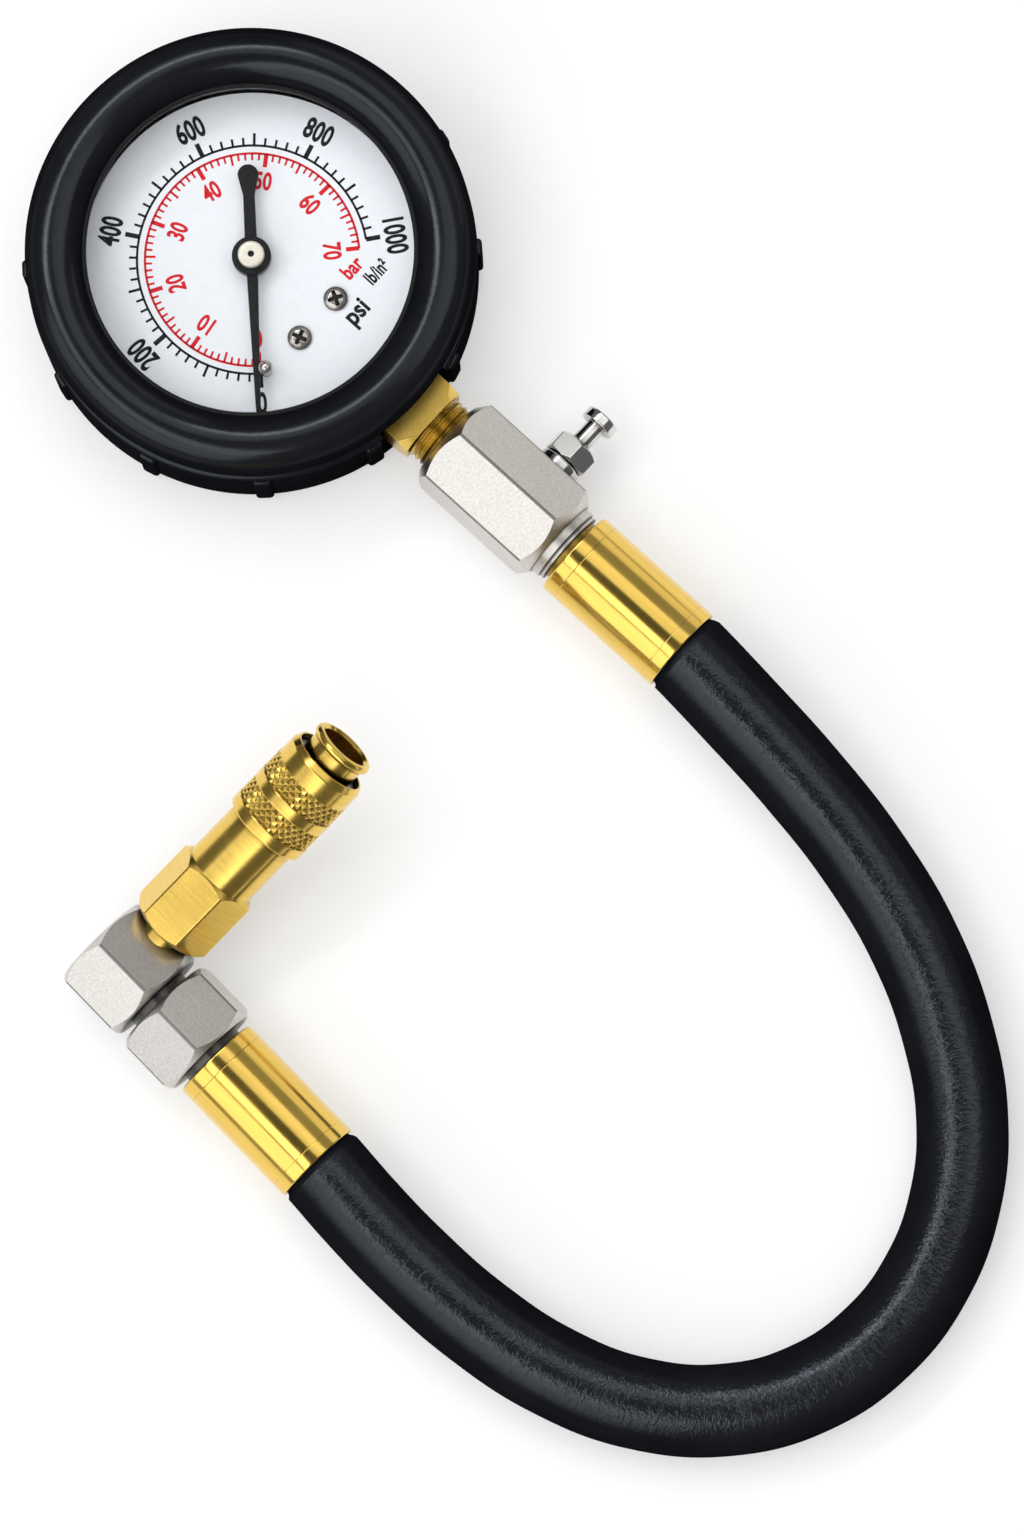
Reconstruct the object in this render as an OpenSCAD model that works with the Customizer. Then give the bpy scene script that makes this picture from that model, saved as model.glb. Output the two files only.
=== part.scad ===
// Compression tester gauge: pressure dial in a rubber boot, release valve, hose and quick coupler.
// It lies on its back with the dial up. The stem points along -Y, the release valve along +X.

/* [Boot] */
// Outer diameter of the boot's rear shell
boot_d = 81.5; // [80.5:0.5:84]
// Height of the front ring above the bezel
ring_rise = 3.8; // [3:0.1:4.4]
// Outer diameter of the round front ring
ring_d = 81; // [80.5:0.1:81.5]
// Diameter of the round window inside the front ring
window_d = 59.8; // [59.3:0.1:60.3]
// Diameter of the opening in the back of the boot
boot_back_d = 52; // [48:1:56]
// Thickness of the lip that holds the case from behind
boot_lip = 2.5; // [2:0.25:3]
// Height of the straight rear shell
shell_h = 20; // [19:0.25:20.5]
// Number of grip ribs around the rear shell
rib_count = 12; // [8:2:16]
// Width of one grip rib
rib_w = 3.5; // [2.5:0.25:4.5]
// Height of a rib above the shell
rib_rise = 0.8; // [0.4:0.1:1.2]
// Width of the cut-out for the stem
stem_gap_w = 17; // [16:0.5:18]

/* [Case and lens] */
// Outer diameter of the case cup
case_d = 64; // [63.5:0.25:64.5]
// Wall thickness of the case cup
case_wall = 1; // [0.8:0.1:1.2]
// Height of the case cup
case_h = 22.5; // [22:0.25:23]
// Wall thickness of the bezel ring
bezel_wall = 1.4; // [1.2:0.1:1.5]
// Thickness of the bezel's front lip
bezel_lip = 0.8; // [0.6:0.1:1]
// Thickness of the lens
lens_t = 1.8; // [1.4:0.1:2]
// Thickness of the lens gasket
gasket_t = 0.6; // [0.4:0.1:0.8]

/* [Dial and pointer] */
// Diameter of the dial plate
dial_d = 61; // [60:0.25:61.5]
// Thickness of the dial plate
dial_t = 0.6; // [0.4:0.1:0.8]
// Height of the dial face above the back of the boot
dial_z = 17; // [16.8:0.1:17.4]
// Spacing of the two dial screws
dial_screw_gap = 9.6; // [9:0.2:10]
// Length of the pointer from its axis to the tip
pointer_len = 28.4; // [25:0.2:29]
// Length of the pointer's tail, bulb included
pointer_tail = 16.8; // [14:0.2:18]
// Direction of the pointer at zero, counted from +X
pointer_zero = 225; // [215:1:235]
// Diameter of the pointer's hub
hub_d = 7.1; // [6.5:0.1:8]
// Diameter of the bright cap on the hub
cap_d = 4.8; // [4.4:0.1:5.4]

/* [Movement] */
// Gear module of the sector and the pinion
gear_module = 0.35; // [0.33:0.01:0.37]
// Teeth of the pinion
pinion_teeth = 10; // [10:1:10]
// Turns of the pinion for one turn of the sector
gear_ratio = 8; // [8:1:8]
// Thickness of the two movement plates
plate_t = 1; // [0.8:0.1:1.1]
// Clear height between the movement plates
plate_gap = 4; // [3.9:0.1:4.1]
// Mean radius of the pressure tube's bend
tube_r = 24.5; // [24.2:0.1:25]
// Width of the flattened pressure tube
tube_t = 3; // [2.6:0.1:3.2]
// Height of the flattened pressure tube
tube_h = 8.5; // [8:0.1:8.8]
// Length of the link's working part
link_len = 6; // [5.9:0.1:6.1]

/* [Stem and adaptor] */
// Height of the stem axis above the back of the boot
stem_z = 12; // [11.6:0.1:12.4]
// Width across the stem's wrench flats
stem_flats = 14; // [13:0.25:14.5]
// Outer diameter of the stem thread
stem_thread_d = 13.2; // [12.5:0.1:13.6]
// Width across flats of the adaptor
adaptor_af = 18; // [17.5:0.25:19]
// Length of the adaptor's six flats
adaptor_len = 27; // [26.5:0.25:28]
// Diameter of the adaptor's round collar
adaptor_collar_d = 14.7; // [14:0.1:15.5]

/* [Release valve] */
// Width across flats of the valve nut
valve_af = 8; // [7.5:0.25:8.5]
// Diameter of the valve button's stem
button_stem_d = 3.76; // [3.4:0.02:4]
// Diameter of the valve button's head
button_head_d = 6.7; // [6:0.1:7.5]
// Inward travel of the valve button
button_travel = 2.2; // [1.6:0.1:2.4]

/* [Hose] */
// Outer diameter of the hose
hose_d = 16.6; // [16.2:0.1:16.7]
// Outer diameter of the hose ferrules
ferrule_d = 16.8; // [16.4:0.1:17.2]
// Length of the hose ferrules
ferrule_len = 26.4; // [26:0.1:26.8]
// Outer diameter of the barbed hose tails
tail_d = 8.6; // [8.2:0.1:9]

/* [Elbow and coupler] */
// Width across flats of the elbow and of the hose fitting
elbow_af = 19; // [18.5:0.25:19]
// Length of the elbow's hexagonal body
elbow_len = 14.5; // [14.2:0.1:14.8]
// Rise of the coupler above the surface it lies on
coupler_rise = 20; // [18:1:22]
// Width across flats of the coupler body
coupler_af = 14.4; // [14:0.1:14.5]
// Diameter of the coupler body behind the sleeve
coupler_body_d = 13.8; // [13.7:0.05:13.85]
// Diameter of the sliding sleeve
sleeve_d = 16; // [15.9:0.1:16.4]
// Length of the sliding sleeve
sleeve_len = 17.5; // [17.3:0.1:17.7]
// Backward travel of the sliding sleeve
sleeve_travel = 4; // [3:0.25:4]
// Diameter of the coupler's socket bore
socket_d = 8.8; // [8.6:0.05:8.9]
// Number of locking balls
ball_count = 6; // [4:1:6]
// Diameter of a locking ball
ball_d = 2.5; // [2.4:0.05:2.5]
// Number of knurl columns around the sleeve
knurl_columns = 64; // [48:4:72]

/* [Hidden] */
$fn = 96;

// Clearances and cutting margins
run_fit = 0.05;
free_fit = 0.3;
seat_fit = 0.05;
thread_fit = 0.05;
shoulder_gap = 0.2;
cut = 1;
tiny = 0.01;

// Colours as seen
rubber_black = [0.07, 0.07, 0.08];
steel = [0.72, 0.72, 0.72];
nickel = [0.74, 0.73, 0.70];
brass = [0.85, 0.66, 0.25];
dial_white = [0.94, 0.95, 0.97];
glass = [0.85, 0.92, 0.95, 0.35];
pointer_black = [0.03, 0.03, 0.03];
champagne = [0.86, 0.80, 0.68];

// Boot and case, from the back to the front
boot_r = boot_d / 2;
case_r = case_d / 2;
boot_edge = 1.4;
shell_edge = 0.7;
rib_foot = 1.5;
rib_z = 2;
rib_stop = 1.5;
rib_h = shell_h - rib_z - rib_stop;
stem_gap_z = 3.5;
case_z = boot_lip;
case_floor = case_z + case_wall;
case_rim = case_z + case_h;
lens_z = case_rim + gasket_t;
bezel_r = case_r + bezel_wall;
bezel_show = 0.5;
bezel_hole_r = window_d / 2 - bezel_show;
bezel_skirt = 3;
bezel_z = case_rim - bezel_skirt;
lip_z = lens_z + lens_t;
bezel_top = lip_z + bezel_lip;
groove_wall = 3.75;
groove_r = bezel_r + seat_fit + groove_wall;
ring_r = (ring_d - window_d) / 4;
ring_mid_r = (ring_d + window_d) / 4;
ring_z = bezel_top + ring_rise - ring_r;
gasket_w = 1.5;
case_screw_x = 4;
case_screw_y = 22;
case_screw_d = 3;
case_screw_head_d = 5.5;
case_screw_head_h = 1.8;
case_screw_len = 5;

// Dial, screws and pointer
dial_back = dial_z - dial_t;
dial_hole_d = 6;
dial_screw_y = 16;
dial_screw_d = 2.4;
dial_screw_head_d = 4.4;
dial_screw_head_h = 1.2;
dial_screw_len = 4;
pointer_lift = 3.2;
pointer_z = dial_z + pointer_lift;
pointer_t = 0.6;
pointer_half = 1.1;
tip_half = 0.42;
tail_half = 1.05;
bulb_r = 1.9;
bulb_len = 5.6;
hub_below = 1;
hub_z = pointer_z - hub_below;
hub_h = 2.6;
cap_h = 1.8;
cap_hole_r = 0.5;
bush_r = 1.5;
stop_r = 1;
stop_h = 5;
stop_ring_r = 20.6;
stop_head_r = 1.3;
needle_half_at_stop = pointer_half + (tip_half - pointer_half) * stop_ring_r / pointer_len;
stop_angle = pointer_zero + asin((stop_r + needle_half_at_stop + seat_fit) / stop_ring_r);

// Movement
ledge_z = 8;
plate_z = ledge_z;
front_plate_z = plate_z + plate_t + plate_gap;
front_plate_top = front_plate_z + plate_t;
plate_margin = 2.8;
corner_steps = 8;
pinion_r = gear_module * pinion_teeth / 2;
sector_teeth = pinion_teeth * gear_ratio;
sector_r = gear_module * sector_teeth / 2;
gear_distance = pinion_r + sector_r;
tooth_tip = 0.7 * gear_module;
tooth_root = 1.2 * gear_module;
tooth_sink = 0.2;
tooth_pitch = PI * gear_module;
tooth_foot_w = 0.46 * tooth_pitch;
tooth_tip_w = 0.22 * tooth_pitch;
mesh_angle = -45;
sector_pivot = gear_distance * [cos(mesh_angle), sin(mesh_angle)];
sector_mesh = mesh_angle + 180;
sector_lift = 1.4;
sector_z = plate_z + plate_t + sector_lift;
sector_t = 1;
pinion_len = 2.4;
pinion_z = sector_z + sector_t / 2 - pinion_len / 2;
sector_step = 360 / sector_teeth;
sector_first = -9;
sector_last = 1;
rim_margin = 0.3;
rim_w = 2.2;
sector_hub_r = 2.4;
arm_w = 2;
tail_len = 5;
tail_angle = -51.3;
tail_eye_r = 1.5;
tail_eye = sector_pivot + tail_len * [cos(tail_angle), sin(tail_angle)];
link_angle = 55.2;
link_z = sector_z + sector_t + shoulder_gap;
link_t = 0.8;
link_half = 1.5;
link_play = 0.3;
link_slot = 2.9;
link_dir = [cos(link_angle), sin(link_angle)];
link_eye = tail_eye + link_len * link_dir;
pin_r = 0.5;
pin_head_r = 1.1;
pin_head_h = 0.45;
arbor_r = 0.8;
pivot_r = 0.6;
sector_arbor_r = 1;
pillar_r = 1.2;
screw_r = 0.75;
screw_head_r = 1.4;
screw_head_h = 0.85;
screw_len = 2;
screw_room = 0.4;
pillar_spots = [[-5.5, 4.5], [-6, -10], [14.5, -3.5]];
plate_spots = [[-5.5, 4.5], [-6, -10], sector_pivot, [14.5, -3.5]];
socket_screw_spots = [[-1.5, -10.8], [4.5, -10.8]];
collet_r = 1.6;
collet_lift = 0.5;
collet_z = front_plate_top + collet_lift;
collet_h = 1;
spring_turns = 3;
spring_foot = 0.25;
spring_inner = collet_r + spring_foot;
spring_pitch = 0.95;
spring_strip = 0.22;
spring_steps = 20;
stud_r = 0.5;
stud_gap = 0.1;
stud_ring_r = spring_inner + spring_turns * spring_pitch + spring_strip + stud_gap + stud_r;

// Pressure tube, its tip and the stem
tube_z = 11.75;
tube_wall = 0.5;
tube_from = -25;
tube_turn = 270;
tube_root = tube_from + tube_turn;
tip_len = 4;
tip_wall = 0.2;
lug_z = 8.8;
lug_t = 1.2;
lug_half = 1.4;
block_w = 14;
block_out = 29.5;
block_in = 14;
ledge_in = 7;
boss_wall = 1.5;
boss_w = tube_t + 2 * boss_wall;
boss_len = 7;
boss_rise = 0.2;
neck_d = 12;
neck_from = dial_d / 2 + free_fit;
flats_from = 33.5;
flats_to = 44.1;
flats_chamfer_d = 15.4;
stem_bore_d = 4;
stem_bore_end = 25;
tube_bore_d = 2.4;
stem_thread_end = 57.5;
thread_depth = 0.55;
thread_start = 0.3;

// Adaptor and hose end, as distances along the stem
adaptor_from = 47.8;
adaptor_to = adaptor_from + adaptor_len;
adaptor_collar_len = 2.6;
collar_to = adaptor_to + adaptor_collar_len;
adaptor_thread_end = 59;
adaptor_bore_d = 5;
adaptor_turn = -37;
hex_chamfer = 40;
hex_ratio = 0.87;
block_ratio = 0.96;
tail_thread_d = 10;
tail_thread_len = 6.1;
tail_thread_hole = 6.4;
flange_d = 12.4;
flange_len = 1;
ferrule_gauge_from = collar_to + flange_len;
ferrule_wall = 0.8;
ferrule_floor = 1.2;
ferrule_edge = 0.4;
tail_neck_d = 9;
tail_short = 0.9;
barb_count = 5;
barb_step = 4;
barb_drop = 0.8;
barb_end = 1;
tail_neck_len = ferrule_floor + 0.6;

// Release valve, as distances from the stem axis
valve_along = 65.7;
valve_drop = 7;
valve_thread_d = 6.8;
valve_thread_from = 4.2;
valve_seat = adaptor_af / 2;
valve_collar_d = 8.2;
valve_collar_len = 1.8;
valve_nut_from = valve_seat + valve_collar_len;
valve_nut_len = 4.8;
valve_nut_to = valve_nut_from + valve_nut_len;
valve_turn = 12;
valve_chamber_d = 6.4;
button_gap = 2.3;
button_head_from = valve_nut_to + button_travel + button_gap;
button_head_len = 2.2;
button_head_edge = 0.5;
poppet_d = 5.6;
poppet_t = 1.4;
valve_seal_t = 1;
poppet_from = valve_thread_from - valve_seal_t - poppet_t;
valve_coil_r = 2.2;
valve_wire_r = 0.35;
valve_coil_turns = 5;
valve_coil_spare = 1.1;
valve_chamber_to = poppet_from - button_travel - 2 * valve_wire_r * valve_coil_turns - valve_coil_spare;

// Hose route: mouth of the gauge ferrule to the mouth of the coupler ferrule
hose_nip = 0.1;
hose_squeeze = ferrule_d / 2 - ferrule_wall - hose_nip;
hose_sides = 12;
hose_lip = 1.2;
hose_route = [[-1, -120, 11], [-2.5, -136.1, 9.6], [-5.5, -153.8, 8.6], [-11, -171.5, 8.4],
    [-19.2, -187, 8.4], [-28.6, -198.7, 8.4], [-40.2, -207.5, 8.4], [-54, -213, 8.4], [-68.5, -214.2, 8.4],
    [-82.7, -210.8, 8.4], [-95.2, -202.8, 8.4], [-105.4, -190, 8.4], [-111.4, -175, 8.4],
    [-114.1, -158.5, 8.7], [-114.4, -142.5, 9.6], [-113.6, -130, 10.7]];

// Elbow end: its own axis points to the hose, the coupler stands across it
elbow_spot = [-109.4, -69.9];
elbow_yaw = 3.5;
elbow_turn = -25;
fitting_turn = -21;
elbow_corner_r = elbow_af / 2 / cos(30);
elbow_z = elbow_corner_r;
elbow_half = elbow_len / 2;
fitting_gap = 1.6;
fitting_from = elbow_half + fitting_gap;
fitting_len = 12.2;
fitting_to = fitting_from + fitting_len;
fitting_spigot_d = 9.2;
fitting_spigot_from = 1.2;
fitting_flange_len = 1.35;
ferrule_coupler_from = fitting_to + fitting_flange_len;
ferrule_coupler_to = ferrule_coupler_from + ferrule_len;
elbow_bore_d = 5;
elbow_cross_d = 4.4;
elbow_bore_end = 3;
thread_room = 0.2;

// Coupler, as distances from the elbow axis
spigot_d = 10;
spigot_from = 6.2;
coupler_hex_from = 10.75;
coupler_hex_len = 14.15;
coupler_hex_to = coupler_hex_from + coupler_hex_len;
coupler_turn = 28;
shoulder_at = 40;
nose_d = 11;
nose_neck_d = 10.7;
nose_to = 58.5;
rim_d = 12.2;
rim_len = 1.7;
mouth_chamfer = 0.5;
mouth_step = 0.2;
mouth_len = 5.7;
mouth_from = nose_to - mouth_len;
mouth_d = socket_d + 2 * mouth_step;
socket_from = 37.4;
passage_d = 5;
seal_at = 38.9;
seal_r = 0.9;
seal_ring_r = 4.7;
ball_at = 51;
ball_inset = 0.45;
ball_ring_r = socket_d / 2 + ball_inset;
ball_hole_d = ball_d + 2 * run_fit;
sleeve_from = 36.9;
sleeve_to = sleeve_from + sleeve_len;
sleeve_bore_d = coupler_body_d + 2 * run_fit;
land_to = 52.4;
land_gap = 0.1;
land_step = 0.6;
land_r = ball_ring_r + ball_d / 2 + land_gap;
front_bore_r = land_r + land_step;
retainer_from = land_to + seat_fit;
retainer_t = 0.8;
retainer_r = front_bore_r - free_fit;
retainer_groove_d = 10.4;
retainer_gap = 1.2;
sleeve_coil_r = 6.2;
sleeve_wire_r = 0.42;
sleeve_coil_turns = 4.5;
sleeve_coil_spare = 1.62;
land_from = shoulder_at + sleeve_travel + 2 * sleeve_wire_r * sleeve_coil_turns + sleeve_coil_spare;
coil_sides = 6;
coil_steps = 14;

// Knurl bands on the sleeve
knurl_len = 4;
ridge_len = 2.4;
knurl_first = sleeve_from + ridge_len;
knurl_gap = 2.3;
knurl_second = knurl_first + knurl_len + knurl_gap;
knurl_rows = 6;
knurl_shy = 0.05;
knurl_peak_r = sleeve_d / 2 - knurl_shy;
knurl_depth = 0.35;
knurl_core = 0.2;
knurl_bed = 0.35;
knurl_core_r = sleeve_bore_d / 2 + knurl_core;
knurl_bed_r = sleeve_bore_d / 2 + knurl_bed;
knurl_tuck = 0.2;
front_step = 0.2;
nose_step = 0.8;
sleeve_front_r = sleeve_d / 2 - front_step;
sleeve_nose_r = sleeve_d / 2 - nose_step;
sleeve_edge = 0.4;
sleeve_nose_len = 1.2;

// Places: the stem's axis, the valve's axis, the elbow's axis and the coupler's axis all become +Z
module stem_place() {
    translate([0, 0, stem_z]) rotate([90, 0, 0]) children();
}

module valve_place() {
    translate([0, -valve_along, stem_z]) rotate([0, 90 + valve_drop, 0]) children();
}

module elbow_frame() {
    translate([elbow_spot[0], elbow_spot[1], elbow_z]) rotate([0, 0, -elbow_yaw]) children();
}

module elbow_place() {
    elbow_frame() rotate([90, 0, 0]) children();
}

module coupler_place() {
    elbow_frame() rotate([0, 90 - coupler_rise, 0]) children();
}

// Point at a distance along the elbow's axis
function along_elbow(d) = [
    elbow_spot[0] - d * sin(elbow_yaw),
    elbow_spot[1] - d * cos(elbow_yaw),
    elbow_z
];

// Shared shapes
module ring(r_out, r_in, h) {
    difference() {
        cylinder(r = r_out, h = h);
        translate([0, 0, -cut]) cylinder(r = r_in, h = h + 2 * cut);
    }
}

module drill(d, from, to) {
    translate([0, 0, from]) cylinder(d = d, h = to - from);
}

// Hexagonal bar with both ends turned to a cone
module hex_bar(af, len, end_ratio) {
    corner = af / 2 / cos(30) + tiny;
    end_r = end_ratio * af / 2;
    drop = (corner - end_r) * tan(hex_chamfer);
    intersection() {
        cylinder(d = af / cos(30), h = len, $fn = 6);
        rotate_extrude() polygon([[0, 0], [end_r, 0], [corner, drop], [corner, len - drop],
            [end_r, len], [0, len]]);
    }
}

// Flat strip of even width with round ends between two points
module strip(a, b, half) {
    span = b - a;
    translate(a) circle(r = half);
    translate(b) circle(r = half);
    translate(a) rotate(atan2(span[1], span[0])) translate([0, -half]) square([norm(span), 2 * half]);
}

// Round tube swept along points, with one radius for each point
module swept(points, radii, sides) {
    count = len(points);
    tangents = [for (i = [0 : count - 1])
        let (d = points[min(i + 1, count - 1)] - points[max(i - 1, 0)]) d / norm(d)];
    sideways = [for (t = tangents) let (s = cross([0, 0, 1], t)) s / norm(s)];
    verts = [for (i = [0 : count - 1]) for (k = [0 : sides - 1])
        let (a = 360 * k / sides)
        points[i] + radii[i] * (cos(a) * sideways[i] + sin(a) * cross(tangents[i], sideways[i]))];
    walls = [for (i = [0 : count - 2]) for (k = [0 : sides - 1])
        let (n = (k + 1) % sides)
        [i * sides + k, (i + 1) * sides + k, (i + 1) * sides + n, i * sides + n]];
    first_cap = [for (k = [0 : sides - 1]) k];
    last_cap = [for (k = [0 : sides - 1]) (count - 1) * sides + sides - 1 - k];
    polyhedron(points = verts, faces = concat(walls, [first_cap, last_cap]));
}

// Coil spring from one end plane to the other
module coil(r, wire, turns, from, to) {
    steps = turns * coil_steps;
    points = [for (i = [0 : steps])
        [r * cos(360 * i / coil_steps), r * sin(360 * i / coil_steps),
            from + wire + (to - from - 2 * wire) * i / steps]];
    swept(points, [for (p = points) wire], coil_sides);
}

// Boot
module boot_profile() {
    difference() {
        union() {
            polygon([[boot_back_d / 2, 0], [boot_r - boot_edge, 0], [boot_r, boot_edge],
                [boot_r, shell_h - shell_edge], [boot_r - shell_edge, shell_h], [groove_r, shell_h],
                [groove_r, ring_z], [boot_back_d / 2, ring_z]]);
            translate([ring_mid_r, ring_z]) circle(r = ring_r);
        }
        polygon([[0, boot_lip], [case_r + seat_fit, boot_lip], [case_r + seat_fit, bezel_z - seat_fit],
            [bezel_r + seat_fit, bezel_z - seat_fit], [bezel_r + seat_fit, bezel_top + seat_fit],
            [0, bezel_top + seat_fit]]);
    }
}

module rubber_boot() color(rubber_black) {
    difference() {
        union() {
            rotate_extrude() boot_profile();
            for (i = [0 : rib_count - 1])
                rotate(360 * (i + 0.5) / rib_count - 90)
                    translate([boot_r - rib_foot, -rib_w / 2, rib_z])
                        cube([rib_foot + rib_rise, rib_w, rib_h]);
        }
        translate([-stem_gap_w / 2, -boot_r - rib_rise - cut, stem_gap_z])
            cube([stem_gap_w, boot_r + rib_rise + cut - case_r + case_wall, shell_h - stem_gap_z]);
    }
}

// Case, bezel and lens
module case_cup() color(steel) {
    difference() {
        rotate_extrude() polygon([[0, case_z], [case_r, case_z], [case_r, case_rim],
            [case_r - case_wall, case_rim], [case_r - case_wall, case_floor], [0, case_floor]]);
        stem_place() drill(neck_d + 2 * seat_fit, block_out - cut, case_r + cut);
        for (x = [-case_screw_x, case_screw_x])
            translate([x, -case_screw_y, 0])
                drill(case_screw_d + 2 * seat_fit, case_z - cut, case_floor + cut);
    }
}

module bezel_ring() color(pointer_black) {
    rotate_extrude() polygon([[case_r + seat_fit, bezel_z], [bezel_r, bezel_z], [bezel_r, bezel_top],
        [bezel_hole_r, bezel_top], [bezel_hole_r, lip_z], [case_r + seat_fit, lip_z]]);
}

module lens_gasket() color(rubber_black) {
    translate([0, 0, case_rim]) ring(case_r, case_r - gasket_w, gasket_t);
}

module lens() color(glass) {
    translate([0, 0, lens_z]) cylinder(r = case_r, h = lens_t);
}

// Dial and pointer
module dial_screw_spots() {
    for (x = [-dial_screw_gap / 2, dial_screw_gap / 2]) translate([x, -dial_screw_y, 0]) children();
}

module stop_spot() {
    rotate(stop_angle) translate([stop_ring_r, 0, 0]) children();
}

module dial_plate() color(dial_white) {
    difference() {
        translate([0, 0, dial_back]) cylinder(d = dial_d, h = dial_t);
        drill(dial_hole_d, dial_back - cut, dial_z + cut);
        dial_screw_spots() drill(dial_screw_d + 2 * seat_fit, dial_back - cut, dial_z + cut);
        stop_spot() drill(2 * stop_r, dial_back - cut, dial_z + cut);
    }
}

module dial_screws() color(nickel) {
    dial_screw_spots() {
        drill(dial_screw_d, dial_back - dial_screw_len, dial_z + tiny);
        drill(dial_screw_head_d, dial_z, dial_z + dial_screw_head_h);
    }
}

module stop_pin() color(nickel) {
    stop_spot() {
        drill(2 * stop_r, dial_back, dial_z + stop_h);
        translate([0, 0, dial_z + stop_h]) sphere(r = stop_head_r);
    }
}

module pointer() color(pointer_black) {
    rotate(pointer_zero) difference() {
        union() {
            translate([0, 0, pointer_z]) linear_extrude(pointer_t) {
                polygon([[0, -pointer_half], [pointer_len, -tip_half], [pointer_len, tip_half],
                    [0, pointer_half], [bulb_len - pointer_tail, tail_half],
                    [bulb_r - pointer_tail, bulb_r], [bulb_r - pointer_tail, -bulb_r],
                    [bulb_len - pointer_tail, -tail_half]]);
                translate([bulb_r - pointer_tail, 0]) circle(r = bulb_r);
            }
            translate([0, 0, hub_z]) cylinder(d = hub_d, h = hub_h);
        }
        drill(2 * bush_r, hub_z - cut, hub_z + hub_h + cut);
    }
}

module pointer_cap() color(champagne) {
    difference() {
        union() {
            drill(2 * bush_r, hub_z, hub_z + hub_h + tiny);
            drill(cap_d, hub_z + hub_h, hub_z + hub_h + cap_h);
        }
        drill(2 * arbor_r, hub_z - cut, hub_z + hub_h + tiny);
        drill(2 * cap_hole_r, hub_z, hub_z + hub_h + cap_h + cut);
    }
}

// Movement: one gear tooth pointing along +X from the root circle
module tooth(r) {
    polygon([[r - tooth_root - tooth_sink, -tooth_foot_w / 2], [r - tooth_root, -tooth_foot_w / 2],
        [r + tooth_tip, -tooth_tip_w / 2], [r + tooth_tip, tooth_tip_w / 2],
        [r - tooth_root, tooth_foot_w / 2], [r - tooth_root - tooth_sink, tooth_foot_w / 2]]);
}

module pinion_shaft() color(steel) {
    drill(2 * pivot_r, plate_z, plate_z + plate_t + shoulder_gap + tiny);
    drill(2 * arbor_r, plate_z + plate_t + shoulder_gap, hub_z + hub_h);
    drill(2 * collet_r, collet_z, collet_z + collet_h);
    translate([0, 0, pinion_z]) linear_extrude(pinion_len) {
        circle(r = pinion_r - tooth_root);
        for (k = [0 : pinion_teeth - 1]) rotate(mesh_angle + 360 * k / pinion_teeth) tooth(pinion_r);
    }
}

module hairspring() color(brass) {
    steps = spring_turns * spring_steps;
    inner = [for (i = [0 : steps]) (spring_inner + spring_pitch * i / spring_steps)
        * [cos(360 * i / spring_steps), sin(360 * i / spring_steps)]];
    outer = [for (i = [steps : -1 : 0]) (spring_inner + spring_strip + spring_pitch * i / spring_steps)
        * [cos(360 * i / spring_steps), sin(360 * i / spring_steps)]];
    translate([0, 0, collet_z]) linear_extrude(collet_h) polygon(concat(inner, outer));
}

module hairspring_stud() color(brass) {
    translate([stud_ring_r, 0, 0]) drill(2 * stud_r, front_plate_top, collet_z + collet_h);
}

module sector_gear() color(brass) {
    root = sector_r - tooth_root;
    from = sector_mesh + (sector_first + 0.5 - rim_margin) * sector_step;
    to = sector_mesh + (sector_last + 0.5 + rim_margin) * sector_step;
    mid = (from + to) / 2;
    far = 2 * sector_r;
    translate([sector_pivot[0], sector_pivot[1], sector_z]) linear_extrude(sector_t) difference() {
        union() {
            intersection() {
                difference() {
                    circle(r = root);
                    circle(r = root - rim_w);
                }
                polygon([[0, 0], far * [cos(from), sin(from)], far * [cos(mid), sin(mid)],
                    far * [cos(to), sin(to)]]);
            }
            for (k = [sector_first : sector_last])
                rotate(sector_mesh + (k + 0.5) * sector_step) tooth(sector_r);
            for (a = [from + sector_step, to - sector_step])
                rotate(a) translate([0, -arm_w / 2]) square([root - rim_w / 2, arm_w]);
            circle(r = sector_hub_r);
            strip([0, 0], tail_eye - sector_pivot, tail_eye_r);
        }
        circle(r = sector_arbor_r);
        translate(tail_eye - sector_pivot) circle(r = pin_r);
    }
}

module sector_arbor() color(steel) {
    translate([sector_pivot[0], sector_pivot[1], 0]) {
        drill(2 * pivot_r, plate_z, front_plate_top);
        drill(2 * sector_arbor_r, plate_z + plate_t + shoulder_gap, front_plate_z - shoulder_gap);
    }
}

module link() color(brass) {
    translate([0, 0, link_z]) linear_extrude(link_t) difference() {
        strip(tail_eye, link_eye, link_half);
        translate(tail_eye) circle(r = pin_r + run_fit);
        strip(link_eye - link_slot * link_dir, link_eye, pin_r + link_play);
    }
}

module link_pin() color(steel) {
    translate([tail_eye[0], tail_eye[1], 0]) {
        drill(2 * pin_r, sector_z, link_z + link_t + 2 * seat_fit);
        drill(2 * pin_head_r, link_z + link_t + seat_fit, link_z + link_t + pin_head_h);
    }
}

module tube_tip() color(brass) {
    rotate(tube_from) {
        translate([tube_r - tube_t / 2 - tip_wall, -tip_len, tube_z - tube_h / 2 - tip_wall])
            cube([tube_t + 2 * tip_wall, tip_len, tube_h + 2 * tip_wall]);
    }
    root = (tube_r - tube_t / 2 + tip_wall) * [cos(tube_from), sin(tube_from)]
        + tip_len / 2 * [sin(tube_from), -cos(tube_from)];
    translate([0, 0, lug_z]) linear_extrude(lug_t) strip(root, link_eye, lug_half);
    translate([link_eye[0], link_eye[1], 0]) drill(2 * pin_r, lug_z, link_z + link_t + shoulder_gap);
}

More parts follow.
